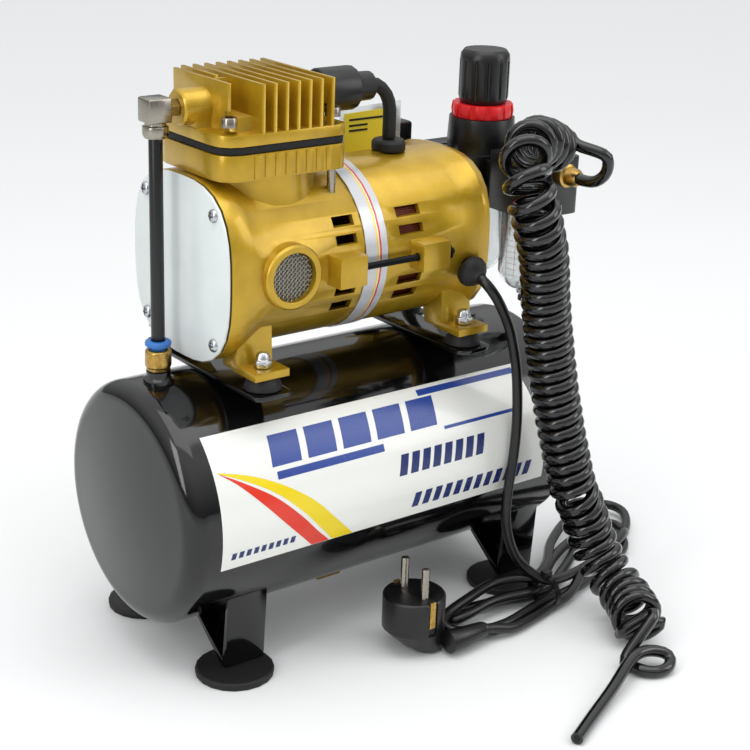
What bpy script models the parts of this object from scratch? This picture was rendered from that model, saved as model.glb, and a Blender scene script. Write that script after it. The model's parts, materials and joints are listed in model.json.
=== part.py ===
"""Airbrush compressor: oil-free piston pump and motor on a small air tank, with
a filter-regulator, a water trap, a curly air hose and a mains lead.

Metres, +Z up.  X runs along the tank and the motor shaft (-X is the pump's
cover), -Y is the labelled side.  The tank and the motor share the plane y = 0.
"""
import math

import bmesh
import bpy
from mathutils import Matrix, Vector

# ---- overall ---------------------------------------------------------------
GAP = 0.0003            # clearance left between two pieces that touch
TURN_START = 0.23       # part of a step by which turned pieces start off their axis
MIDDLE = (0.00228, 0.00253)    # middle of the machine's outline seen from above
DETAIL = 0.50           # share of the sides asked for that turned pieces get
TANK_R = 0.070          # outside radius of the tank
TANK_L = 0.258          # straight length of the tank's barrel
TANK_Z = 0.094          # height of the tank's axis
TANK_WALL = 0.002
HEAD_KNUCKLE = 0.012    # corner radius of the dished heads
HEAD_RISE = 0.004       # crown of a head beyond its knuckle

# ---- feet and legs ---------------------------------------------------------
FOOT_X = 0.1010
FOOT_Y = 0.0500
FOOT_R = 0.0225
FOOT_T = 0.0042
LEG_X = (-0.0950, 0.1110)
LEG_W = 0.026
LEG_T = 0.0025

# ---- saddles and rubber mounts ---------------------------------------------
SADDLE_X = (-0.0815, 0.0600)
SADDLE_W = 0.024
SADDLE_T = 0.0025
SADDLE_Y = 0.0600
MOUNT_Y = 0.0467
MOUNT_H = 0.0074
LUG_T = 0.0042

# ---- pump and motor --------------------------------------------------------
AXIS_Z = 0.2276         # height of the motor shaft
BODY_R = 0.0485         # radius of the pump and motor bodies
COVER_X = -0.1050       # outer face of the pump's front cover
COVER_T = 0.0016
SPLIT_X = -0.0080       # where the crankcase meets the motor housing
REAR_X = 0.0750         # rim of the motor housing
BODY_WALL = 0.0032
CYL_X = -0.0580         # axis of the cylinder
BORE_R = 0.0190
STROKE = 0.0120
BLOCK_X = (-0.0995, -0.0190)
BLOCK_Y = 0.0350
BLOCK_Z = (0.2790, 0.2928)
GASKET_T = 0.0040
FLANGE_T = 0.0060
FIN_TOP = 0.3290
FIN_T = 0.0019
FIN_PITCH = 0.0074
FIN_X0 = -0.0890
FIN_COUNT = 9
BAND_X = (-0.0151, -0.0002)
SLOT_SETS = ((-0.0340, -0.0200), (0.0095, 0.0265))
SLOT_Z = (0.0144, 0.0240)
ROD_Y = 0.0540

# ---- air pipe on the pump's end --------------------------------------------
PIPE_X = -0.1190
PIPE_R = 0.0038
ELBOW_Z = 0.3140

# ---- regulator and water trap ----------------------------------------------
UNIT_X = 0.1290
UNIT_W = 0.0400
UNIT_SPACE = 0.0100     # between the two bodies
UNIT_Y = (UNIT_W / 2 + UNIT_SPACE / 2, -UNIT_W / 2 - UNIT_SPACE / 2)
BOWL_R = 0.0185
KNOB_R = 0.0155
RING_R = 0.0190
RISER_Y = UNIT_Y[0] + UNIT_W / 2 + 0.0110

# ---- hose and lead ---------------------------------------------------------
COIL_R = 0.0145
HOSE_R = 0.0035
LEAD_R = 0.0031

GOLD = (0.42, 0.27, 0.035)
BLACK = (0.012, 0.012, 0.013)
STEEL = (0.46, 0.46, 0.47)


def start():
    """Remove what is in the file and make the two collections."""
    for obj in list(bpy.data.objects):
        bpy.data.objects.remove(obj, do_unlink=True)
    made = []
    for name in ("airbrush_compressor", "cutters"):
        coll = bpy.data.collections.new(name)
        bpy.context.scene.collection.children.link(coll)
        made.append(coll)
    return made


PART, CUTTERS = start()


def paint(name, colour, rough, metal):
    """A plain Principled material."""
    mat = bpy.data.materials.new(name)
    mat.use_nodes = True
    shader = mat.node_tree.nodes["Principled BSDF"]
    shader.inputs["Base Color"].default_value = (*colour, 1.0)
    shader.inputs["Roughness"].default_value = rough
    shader.inputs["Metallic"].default_value = metal
    return mat


def place(name, bm, smooth=False):
    """Turn a bmesh into an object, with its faces facing outwards."""
    bmesh.ops.remove_doubles(bm, verts=bm.verts, dist=1e-7)
    bmesh.ops.recalc_face_normals(bm, faces=bm.faces)
    mesh = bpy.data.meshes.new(name)
    bm.to_mesh(mesh)
    bm.free()
    if smooth:
        for poly in mesh.polygons:
            poly.use_smooth = True
    return bpy.data.objects.new(name, mesh)


def keep(obj, colour, rough, metal):
    """Put an object among the parts, with its own material."""
    PART.objects.link(obj)
    obj.data.materials.append(paint(obj.name + "_mat", colour, rough, metal))
    return obj


def cutter(obj):
    """Put an object among the cutters."""
    CUTTERS.objects.link(obj)
    obj.hide_render = True
    obj.display_type = "WIRE"
    return obj


def boolean(obj, tool, kind):
    """Join or cut with another object."""
    mod = obj.modifiers.new(kind.lower(), "BOOLEAN")
    mod.operation = kind
    mod.solver = "EXACT"
    mod.object = cutter(tool)
    return mod


def rounded(obj, width, segments=2, angle=35.0):
    """Round the sharp edges."""
    mod = obj.modifiers.new("rounding", "BEVEL")
    mod.width = width
    mod.segments = segments
    mod.limit_method = "ANGLE"
    mod.angle_limit = math.radians(angle)
    return mod


def box_bm(low, high):
    """A block between two corners."""
    bm = bmesh.new()
    size = Vector(high) - Vector(low)
    mid = (Vector(high) + Vector(low)) / 2
    bmesh.ops.create_cube(bm, size=1.0, matrix=Matrix.Translation(mid) @ Matrix.Diagonal((*size, 1.0)))
    return bm


def box(name, low, high):
    return place(name, box_bm(low, high))


def boxes(name, pairs):
    """Several separate blocks in one mesh, for one cutter."""
    bm = bmesh.new()
    for low, high in pairs:
        one = box_bm(low, high)
        mesh = bpy.data.meshes.new("block")
        one.to_mesh(mesh)
        one.free()
        bm.from_mesh(mesh)
        bpy.data.meshes.remove(mesh)
    return place(name, bm)


def loft(name, rings, smooth=True):
    """Skin a list of rings that have equally many points, and cap both ends."""
    bm = bmesh.new()
    rows = []
    for ring in rings:
        rows.append([bm.verts.new(p) for p in ring])
    count = len(rows[0])
    for one, two in zip(rows, rows[1:]):
        for i in range(count):
            j = (i + 1) % count
            bm.faces.new((one[i], one[j], two[j], two[i]))
    bm.faces.new(rows[0])
    bm.faces.new(list(reversed(rows[-1])))
    return place(name, bm, smooth)


def axis_frame(axis):
    """Rotation that takes +Z to the axis."""
    return Vector((0, 0, 1)).rotation_difference(Vector(axis).normalized()).to_matrix()


def turned(name, profile, axis=(0, 0, 1), at=(0, 0, 0), steps=32, smooth=True):
    """Revolve a closed outline of (radius, distance along the axis)."""
    bm = bmesh.new()
    if steps > 8:
        steps = round(steps * DETAIL)
    turn = axis_frame(axis)
    base = Vector(at)
    rows = []
    for radius, along in profile:
        if radius < 1e-9:
            rows.append([bm.verts.new(turn @ Vector((0, 0, along)) + base)])
            continue
        row = []
        for i in range(steps):
            a = 2 * math.pi * (i + TURN_START) / steps
            spot = Vector((radius * math.cos(a), radius * math.sin(a), along))
            row.append(bm.verts.new(turn @ spot + base))
        rows.append(row)
    for k, one in enumerate(rows):
        two = rows[(k + 1) % len(rows)]
        if len(one) == 1 and len(two) == 1:
            continue
        for i in range(steps):
            j = (i + 1) % steps
            face = [one[i % len(one)], one[j % len(one)], two[j % len(two)], two[i % len(two)]]
            corners = []
            for vert in face:
                if vert not in corners:
                    corners.append(vert)
            bm.faces.new(corners)
    return place(name, bm, smooth)


def rod(name, radius, a, b, steps=24):
    """A plain round bar from a to b."""
    length = (Vector(b) - Vector(a)).length
    outline = [(0, 0), (radius, 0), (radius, length), (0, length)]
    return turned(name, outline, Vector(b) - Vector(a), a, steps)


def tube(name, points, radius, resolution=2):
    """A round wire through the points, as a mesh."""
    curve = bpy.data.curves.new(name, "CURVE")
    curve.dimensions = "3D"
    curve.bevel_depth = radius
    curve.bevel_resolution = resolution
    curve.use_fill_caps = True
    line = curve.splines.new("POLY")
    line.points.add(len(points) - 1)
    for spot, point in zip(line.points, points):
        spot.co = (*point, 1.0)
    obj = bpy.data.objects.new(name + "_line", curve)
    CUTTERS.objects.link(obj)
    graph = bpy.context.evaluated_depsgraph_get()
    mesh = bpy.data.meshes.new_from_object(obj.evaluated_get(graph))
    bpy.data.objects.remove(obj, do_unlink=True)
    bm = bmesh.new()
    bm.from_mesh(mesh)
    bpy.data.meshes.remove(mesh)
    bmesh.ops.remove_doubles(bm, verts=bm.verts, dist=1e-5)
    return place(name, bm, True)


def smooth_route(points, step):
    """Points at about equal steps along a smooth curve through the given ones."""
    spots = [Vector(p) for p in points]
    dense = []
    for i in range(len(spots) - 1):
        p0 = spots[max(i - 1, 0)]
        p1, p2 = spots[i], spots[i + 1]
        p3 = spots[min(i + 2, len(spots) - 1)]
        for k in range(20):
            t = k / 20
            dense.append(0.5 * ((2 * p1) + (p2 - p0) * t + (2 * p0 - 5 * p1 + 4 * p2 - p3) * t * t
                                + (3 * p1 - p0 - 3 * p2 + p3) * t ** 3))
    dense.append(spots[-1])
    route = [dense[0]]
    for spot in dense[1:-1]:
        if (spot - route[-1]).length >= step:
            route.append(spot)
    if (dense[-1] - route[-1]).length < step * 0.5:
        route.pop()
    route.append(dense[-1])
    return route


def plate(name, outline, low, high, axis="z"):
    """A flat piece: an outline of (u, v) between two levels of the axis."""
    order = {"z": lambda u, v, w: (u, v, w), "x": lambda u, v, w: (w, u, v),
             "y": lambda u, v, w: (u, w, v)}[axis]
    rings = [[order(u, v, level) for u, v in outline] for level in (low, high)]
    return loft(name, rings, False)


def round_rect(x0, x1, y0, y1, radii, steps=4):
    """Outline of a rectangle; radii are for the corners (x1,y1) (x0,y1) (x0,y0) (x1,y0)."""
    pts = []
    corners = ((x1, y1, 0), (x0, y1, 90), (x0, y0, 180), (x1, y0, 270))
    for (cx, cy, start_deg), r in zip(corners, radii):
        mx = cx - r if cx == x1 else cx + r
        my = cy - r if cy == y1 else cy + r
        for k in range(steps + 1):
            a = math.radians(start_deg + 90 * k / steps)
            pts.append((mx + r * math.cos(a), my + r * math.sin(a)))
    return pts


def barrel_outline(half_y, half_z, power, count=36):
    """A circle that swells towards its corners as the power grows past 2."""
    pts = []
    for i in range(count):
        a = 2 * math.pi * (i + 0.5) / count
        c, s = math.cos(a), math.sin(a)
        r = (abs(c / half_y) ** power + abs(s / half_z) ** power) ** (-1 / power)
        pts.append((r * c, AXIS_Z + r * s))
    return pts


# ---- tank ------------------------------------------------------------------
def make_tank():
    """Barrel with welded bosses, and two dished heads."""
    half = TANK_L / 2 - GAP / 2
    ring = [(TANK_R, -half), (TANK_R, half), (TANK_R - TANK_WALL, half), (TANK_R - TANK_WALL, -half)]
    barrel = turned("tank_barrel", ring, (1, 0, 0), (0, 0, TANK_Z), 64)
    top = TANK_Z + TANK_R
    inlet = [(0, -0.006), (0.0085, -0.006), (0.0085, 0.0018), (0.0068, 0.0030), (0.0068, 0.0062),
             (0, 0.0062)]
    boolean(barrel, turned("boss_in", inlet, at=(PIPE_X, 0, top), steps=24), "UNION")
    shoulder = TANK_Z + math.sqrt(TANK_R ** 2 - RISER_Y ** 2)
    out = [(0, -0.008), (0.0105, -0.008), (0.0105, 0.009), (0, 0.009)]
    boolean(barrel, turned("boss_out", out, at=(0.1050, RISER_Y, shoulder), steps=24), "UNION")
    low = TANK_Z - TANK_R
    drain = [(0, -0.005), (0.0080, -0.005), (0.0080, 0.005), (0, 0.005)]
    boolean(barrel, turned("boss_drain", drain, at=(0, 0, low), steps=24), "UNION")
    bore = rod("bore_in", 0.0030, (PIPE_X, 0, top - 0.010), (PIPE_X, 0, top + 0.010), 16)
    boolean(barrel, bore, "DIFFERENCE")
    boolean(barrel, rod("bore_out", 0.0030, (0.1050, RISER_Y, shoulder - 0.02),
                        (0.1050, RISER_Y, shoulder + 0.02), 16), "DIFFERENCE")
    boolean(barrel, rod("bore_drain", 0.0030, (0, 0, low - 0.01), (0, 0, low + 0.01), 16), "DIFFERENCE")
    keep(barrel, BLACK, 0.12, 0.0)
    for name, side in (("tank_head_front", -1), ("tank_head_rear", 1)):
        keep(dished_head(name, side), BLACK, 0.12, 0.0)


def dished_head(name, side):
    """A pressed end: short skirt, knuckle and shallow crown, of even wall."""
    def skin(radius, knuckle, lift, sides):
        pts = [(radius, 0.0)]
        for k in range(sides + 1):
            a = math.radians(90 * k / sides * 0.92)
            pts.append((radius - knuckle + knuckle * math.cos(a), lift + knuckle * math.sin(a)))
        edge_r, edge_h = pts[-1]
        for k in range(1, 4):
            u = 1 - k / 3
            pts.append((edge_r * u, edge_h + HEAD_RISE * (1 - u * u)))
        return pts
    outer = skin(TANK_R, HEAD_KNUCKLE, 0.0005, 3)
    inner = skin(TANK_R - TANK_WALL, HEAD_KNUCKLE - TANK_WALL, 0.0005, 2)
    return turned(name, outer + inner[::-1], (side, 0, 0), (side * (TANK_L / 2 + GAP / 2), 0, TANK_Z), 64)


# ---- legs and feet ---------------------------------------------------------
def make_leg(name, x, side):
    """A strip bent to a V: front plate up to the tank, back plate under it."""
    y0 = -side * FOOT_Y
    z0 = FOOT_T + GAP
    top_y = -side * 0.0540
    back_y = -side * 0.0180
    line = [
        (y0 - side * 0.0012, z0),
        (top_y - side * 0.0001, tank_low(top_y)),
        (top_y + side * LEG_T, tank_low(top_y) - LEG_T * 1.45),
        (y0 + side * 0.0022, z0 + LEG_T * 1.7),
        (back_y - side * LEG_T * 1.3, tank_low(back_y - side * LEG_T * 1.3)),
        (back_y, tank_low(back_y)),
        (y0 + side * 0.0028, z0),
    ]
    obj = plate(name, line, x - LEG_W / 2, x + LEG_W / 2, "x")
    return keep(obj, BLACK, 0.2, 0.0)


def tank_low(y):
    """Height of the tank's underside, less the working gap."""
    return TANK_Z - math.sqrt(TANK_R ** 2 - y ** 2) - GAP / 3


def make_legs():
    for place_name, x, fx in (("front", LEG_X[0], -FOOT_X), ("rear", LEG_X[1], FOOT_X)):
        for side_name, side in (("left", 1), ("right", -1)):
            make_leg("leg_" + place_name + "_" + side_name, x, side)
            disc = [(0, 0), (FOOT_R, 0), (FOOT_R, FOOT_T * 0.8), (FOOT_R - 0.0012, FOOT_T), (0, FOOT_T)]
            foot = turned("foot_" + place_name + "_" + side_name, disc,
                          at=(fx, -side * FOOT_Y, 0), steps=40)
            keep(foot, (0.015, 0.015, 0.015), 0.6, 0.0)


# ---- saddles, rubber mounts, nuts ------------------------------------------
def make_saddles():
    base = TANK_Z + TANK_R + GAP
    for name, x in (("saddle_front", SADDLE_X[0]), ("saddle_rear", SADDLE_X[1])):
        shape = round_rect(x - SADDLE_W / 2, x + SADDLE_W / 2, -SADDLE_Y, SADDLE_Y, (0.005,) * 4, 3)
        keep(plate(name, shape, base, base + SADDLE_T), BLACK, 0.2, 0.0)
    foot = base + SADDLE_T + GAP
    head = foot + MOUNT_H
    for tag, x in (("front", SADDLE_X[0]), ("rear", SADDLE_X[1])):
        for side_name, y in (("left", -MOUNT_Y), ("right", MOUNT_Y)):
            cone = [(0, 0), (0.0108, 0), (0.0108, 0.0010), (0.0082, MOUNT_H), (0, MOUNT_H)]
            rubber = turned("mount_" + tag + "_" + side_name, cone, at=(x, y, foot), steps=24)
            keep(rubber, (0.015, 0.015, 0.015), 0.65, 0.0)
            nut_z = head + GAP + LUG_T + GAP
            dome = [(0, 0), (0.0052, 0), (0.0052, 0.0040), (0.0042, 0.0044), (0.0040, 0.0066),
                    (0.0026, 0.0084), (0, 0.0090)]
            nut = turned("nut_" + tag + "_" + side_name, dome, at=(x, y, nut_z), steps=12)
            keep(nut, STEEL, 0.3, 1.0)
    return head + GAP


# ---- crankcase -------------------------------------------------------------
def body_ring(x, half_y, half_z, power, count=36):
    return [(x, u, v) for u, v in barrel_outline(half_y, half_z, power, count)]


def lug_pads(x, pad_z):
    """Two foot lugs with their webs, joined to a body."""
    pairs = []
    for side in (-1, 1):
        y_in, y_out = side * 0.0330, side * 0.0560
        pairs.append(((x - 0.0110, min(y_in, y_out), pad_z), (x + 0.0110, max(y_in, y_out), pad_z + LUG_T)))
    return pairs


def foot_web(name, x, side, pad_z):
    """Sloping web from the body down to a foot lug."""
    y = side
    line = [(y * 0.0560, pad_z + 0.0008), (y * 0.0560, pad_z + LUG_T), (y * 0.0395, pad_z + LUG_T),
            (y * 0.0385, AXIS_Z - 0.026), (y * 0.0200, AXIS_Z - 0.036), (y * 0.0240, pad_z + 0.0008)]
    return plate(name, line, x - 0.0108, x + 0.0108, "x")


def make_crankcase(pad_z):
    """Pump body: flanged front, cylinder block with ribs, intake boss, vents."""
    rings = [
        body_ring(COVER_X + COVER_T + 0.0011, 0.0485, 0.0505, 2.9),
        body_ring(-0.0930, 0.0485, 0.0505, 2.9),
        body_ring(-0.0880, 0.0485, 0.0498, 2.6),
        body_ring(-0.0780, BODY_R, BODY_R, 2.0),
        body_ring(SPLIT_X - GAP / 2, BODY_R, BODY_R, 2.0),
    ]
    case = loft("crankcase", rings)
    block = plate("block", round_rect(BLOCK_X[0], BLOCK_X[1], -BLOCK_Y, BLOCK_Y,
                                      (0.006, 0.012, 0.012, 0.006), 3), BLOCK_Z[0], BLOCK_Z[1])
    neck = rod("neck", 0.0338, (CYL_X, 0, AXIS_Z + 0.010), (CYL_X, 0, BLOCK_Z[0] + 0.0005), 40)
    boolean(case, neck, "UNION")
    boolean(case, block, "UNION")
    ribs = []
    for k in range(8):
        x = -0.0780 + 0.0066 * k
        for side in (-1, 1):
            ya, yb = side * (BLOCK_Y - 0.0006), side * (BLOCK_Y + 0.0006)
            ribs.append(((x - 0.0021, min(ya, yb), BLOCK_Z[0] + 0.0009),
                         (x + 0.0021, max(ya, yb), BLOCK_Z[1] - 0.0006)))
    boolean(case, boxes("ribs", ribs), "UNION")
    boss = [(0, 0), (0.0180, 0), (0.0180, 0.0218), (0.0170, 0.0230), (0.0140, 0.0230), (0.0140, 0.0160),
            (0, 0.0160)]
    boolean(case, turned("intake_boss", boss, (0, -1, 0), (-0.0655, -0.0300, AXIS_Z + 0.0004), 32), "UNION")
    boolean(case, boxes("case_lugs", lug_pads(SADDLE_X[0], pad_z)), "UNION")
    for side in (-1, 1):
        boolean(case, foot_web("case_web", SADDLE_X[0], side, pad_z), "UNION")
    ears = []
    for side in (-1, 1):
        ya, yb = side * 0.0440, side * 0.0600
        ears.append(((-0.0405, min(ya, yb), AXIS_Z - 0.0085), (-0.0225, max(ya, yb), AXIS_Z + 0.0085)))
    boolean(case, boxes("case_ears", ears), "UNION")
    chamber = [
        body_ring(COVER_X, 0.0425, 0.0445, 2.6),
        body_ring(-0.0880, 0.0425, 0.0445, 2.5),
        body_ring(-0.0780, 0.0440, 0.0440, 2.0),
        body_ring(-0.0420, 0.0440, 0.0440, 2.0),
    ]
    boolean(case, loft("crank_chamber", chamber), "DIFFERENCE")
    motor_side = [body_ring(-0.0370, BODY_R - BODY_WALL, BODY_R - BODY_WALL, 2.0),
                  body_ring(SPLIT_X + 0.001, BODY_R - BODY_WALL, BODY_R - BODY_WALL, 2.0)]
    boolean(case, loft("motor_room", motor_side), "DIFFERENCE")
    boolean(case, rod("bearing_bore", 0.0062, (-0.050, 0, AXIS_Z), (-0.030, 0, AXIS_Z), 24), "DIFFERENCE")
    boolean(case, rod("cylinder_bore", BORE_R + GAP, (CYL_X, 0, AXIS_Z + 0.020),
                      (CYL_X, 0, BLOCK_Z[1] + 0.001), 40), "DIFFERENCE")
    boolean(case, rod("intake_seat", 0.0140, (-0.0655, -0.0600, AXIS_Z + 0.0004),
                      (-0.0655, -0.0460, AXIS_Z + 0.0004), 32), "DIFFERENCE")
    boolean(case, rod("intake_way", 0.0115, (-0.0655, -0.0600, AXIS_Z + 0.0004),
                      (-0.0655, -0.0300, AXIS_Z + 0.0004), 24), "DIFFERENCE")
    boolean(case, vents("case_vents", SLOT_SETS[0]), "DIFFERENCE")
    boolean(case, rod_holes("case_rod_holes"), "DIFFERENCE")
    boolean(case, lug_holes("case_lug_holes", SADDLE_X[0], pad_z), "DIFFERENCE")
    keep(case, GOLD, 0.32, 0.6)


def vents(name, span):
    """Four long slots on each side of a body."""
    pairs = []
    for side in (-1, 1):
        for dz in (-SLOT_Z[1], -SLOT_Z[0], SLOT_Z[0], SLOT_Z[1]):
            ya, yb = side * 0.030, side * 0.055
            z = AXIS_Z + dz
            pairs.append(((span[0], min(ya, yb), z - 0.0027), (span[1], max(ya, yb), z + 0.0027)))
    return boxes(name, pairs)


def rod_holes(name):
    """Clearance for the two clamping rods."""
    bm = bmesh.new()
    for side in (-1, 1):
        part = rod("hole", 0.0022 + GAP, (-0.0395, side * ROD_Y, AXIS_Z), (0.0500, side * ROD_Y, AXIS_Z), 16)
        bm.from_mesh(part.data)
        bpy.data.objects.remove(part, do_unlink=True)
    return place(name, bm)


def lug_holes(name, x, pad_z):
    """The two bolt holes of a pair of lugs, for the mounts' studs."""
    bm = bmesh.new()
    for side in (-1, 1):
        y = side * MOUNT_Y
        part = rod("hole", 0.0022, (x, y, pad_z - 0.002), (x, y, pad_z + LUG_T + 0.002), 12)
        bm.from_mesh(part.data)
        bpy.data.objects.remove(part, do_unlink=True)
    return place(name, bm)


def make_cover():
    """White front plate and the thin gasket behind it."""
    line = barrel_outline(0.0485, 0.0505, 2.9)
    cover = plate("front_cover", line, COVER_X, COVER_X + COVER_T, "x")
    keep(cover, (0.78, 0.80, 0.80), 0.35, 0.0)
    inner = barrel_outline(0.0425, 0.0445, 2.6)
    seal = plate("cover_gasket", barrel_outline(0.0481, 0.0501, 2.9), COVER_X + COVER_T + GAP,
                 COVER_X + COVER_T + GAP + 0.0005, "x")
    boolean(seal, plate("gasket_way", inner, COVER_X, COVER_X + 0.006, "x"), "DIFFERENCE")
    keep(seal, BLACK, 0.7, 0.0)


# ---- cylinder head ---------------------------------------------------------
def head_plan(inset):
    return round_rect(BLOCK_X[0] + inset, BLOCK_X[1] - inset, -BLOCK_Y + inset, BLOCK_Y - inset,
                      (0.006, 0.012, 0.012, 0.006), 3)


SCREW_SPOTS = ((-0.0905, -0.0265), (-0.0905, 0.0265), (-0.0258, -0.0287), (-0.0258, 0.0287))


def make_head():
    """Valve gasket and the finned head, with its outlet boss."""
    z0 = BLOCK_Z[1] + GAP
    gasket = plate("head_gasket", head_plan(0.0006), z0, z0 + GASKET_T)
    port = rod("gasket_port", 0.0060, (CYL_X, 0, z0 - 0.01), (CYL_X, 0, z0 + 0.01), 20)
    boolean(gasket, port, "DIFFERENCE")
    keep(gasket, (0.014, 0.014, 0.014), 0.75, 0.0)
    z1 = z0 + GASKET_T + GAP
    z2 = z1 + FLANGE_T
    head = plate("cylinder_head", head_plan(0.0), z1, z2)
    core = box("fin_core", (FIN_X0, -BLOCK_Y + 0.009, z2 - 0.001),
               (FIN_X0 + 0.0592, BLOCK_Y - 0.009, z2 + 0.0075))
    boolean(head, core, "UNION")
    fins = []
    for k in range(FIN_COUNT):
        x = FIN_X0 + FIN_PITCH * k
        near = -BLOCK_Y + 0.0005
        far = BLOCK_Y - 0.0005
        if k == 0:
            near, far = -0.0245, 0.0300
        if k == 1:
            near = 0.0
        fins.append(((x - FIN_T / 2, near, z2 - 0.001 - 0.00003 * k), (x + FIN_T / 2, far, FIN_TOP)))
    boolean(head, boxes("fins", fins), "UNION")
    web = box("fin_web", (FIN_X0 - 0.0004, -0.0012, z2),
              (FIN_X0 + FIN_PITCH * 8 + 0.0004, 0.0012, FIN_TOP - 0.0016))
    boolean(head, web, "UNION")
    boss = [(0, 0), (0.0100, 0), (0.0100, 0.0200), (0.0088, 0.0213), (0, 0.0213)]
    boolean(head, turned("outlet_boss", boss, (-1, 0, 0), (FIN_X0 + 0.0040, 0, ELBOW_Z), 28), "UNION")
    skirt = box("outlet_skirt", (-0.0990, -0.0085, z2 - 0.001), (-0.0880, 0.0085, ELBOW_Z))
    boolean(head, skirt, "UNION")
    inlet = [(0, 0), (0.0075, 0), (0.0075, 0.0130), (0, 0.0130)]
    boolean(head, turned("inlet_boss", inlet, (1, 0, 0), (-0.0300, 0, ELBOW_Z + 0.001), 20), "UNION")
    pockets = bmesh.new()
    for x, y in SCREW_SPOTS:
        part = rod("pocket", 0.0054, (x, y, z2), (x, y, z2 + 0.0110), 16)
        pockets.from_mesh(part.data)
        bpy.data.objects.remove(part, do_unlink=True)
    boolean(head, place("screw_pockets", pockets), "DIFFERENCE")
    boolean(head, rod("outlet_way", 0.0030, (-0.1200, 0, ELBOW_Z), (-0.0860, 0, ELBOW_Z), 16), "DIFFERENCE")
    inlet_way = rod("inlet_way", 0.0040, (-0.0350, 0, ELBOW_Z + 0.001), (0.0, 0, ELBOW_Z + 0.001), 16)
    boolean(head, inlet_way, "DIFFERENCE")
    keep(head, GOLD, 0.3, 0.6)


def make_intake_mesh():
    """Round mesh disc pressed into the intake boss."""
    disc = [(0, 0), (0.0134, 0), (0.0134, 0.0016), (0, 0.0016)]
    obj = turned("intake_mesh", disc, (0, -1, 0), (-0.0655, -0.0463, AXIS_Z + 0.0004), 32)
    keep(obj, STEEL, 0.35, 1.0)


# ---- pressure pipe on the pump's end ---------------------------------------
def make_pipe():
    """Elbow with its nipple and nut, the tube, the push-in fitting and its collar."""
    elbow = box("outlet_elbow", (PIPE_X - 0.0070, -0.0065, ELBOW_Z - 0.0066),
                (PIPE_X + 0.0070, 0.0065, ELBOW_Z + 0.0066))
    rounded(elbow, 0.0012, 2)
    face_x = FIN_X0 + 0.0040 - 0.0213
    nipple = rod("nipple", 0.0050, (PIPE_X, 0, ELBOW_Z), (face_x - GAP, 0, ELBOW_Z), 6)
    boolean(elbow, nipple, "UNION")
    nut = [(0, 0.0060), (0.0056, 0.0060), (0.0056, 0.0080), (0.0070, 0.0085), (0.0070, 0.0130),
           (0.0060, 0.0148), (0, 0.0148)]
    boolean(elbow, turned("nut_barrel", nut, (0, 0, -1), (PIPE_X, 0, ELBOW_Z), 24), "UNION")
    socket = rod("tube_socket", PIPE_R + GAP, (PIPE_X, 0, ELBOW_Z - 0.0160),
                 (PIPE_X, 0, ELBOW_Z - 0.0090), 24)
    boolean(elbow, socket, "DIFFERENCE")
    keep(elbow, STEEL, 0.35, 1.0)
    seat = TANK_Z + TANK_R + 0.0062 + GAP
    ring = [(0, 0), (0.0066, 0), (0.0066, 0.0020), (0.0073, 0.0024), (0.0073, 0.0112), (0.0062, 0.0120),
            (0.0052, 0.0124), (0.0052, 0.0060), (0, 0.0060)]
    fitting = turned("push_fitting", ring, at=(PIPE_X, 0, seat), steps=24)
    keep(fitting, (0.50, 0.33, 0.13), 0.3, 1.0)
    top = seat + 0.0124
    collar = [(PIPE_R + GAP, 0), (0.0049, 0), (0.0049, 0.0028), (0.0073, 0.0030), (0.0073, 0.0052),
              (0.0060, 0.0060), (PIPE_R + GAP, 0.0060)]
    obj = turned("release_collar", collar, at=(PIPE_X, 0, top - 0.0012), steps=24)
    shift_origin(obj, (PIPE_X, 0, top))
    keep(obj, (0.03, 0.18, 0.55), 0.35, 0.0)
    z0 = seat + 0.0063
    z1 = ELBOW_Z - 0.0093
    bar = [(0.0025, 0), (PIPE_R, 0), (PIPE_R, z1 - z0), (0.0025, z1 - z0)]
    keep(turned("delivery_tube", bar, at=(PIPE_X, 0, z0), steps=24), (0.02, 0.02, 0.02), 0.4, 0.0)


def shift_origin(obj, spot):
    """Move an object's origin without moving its shape."""
    obj.data.transform(Matrix.Translation(-Vector(spot)))
    obj.location = spot


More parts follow.
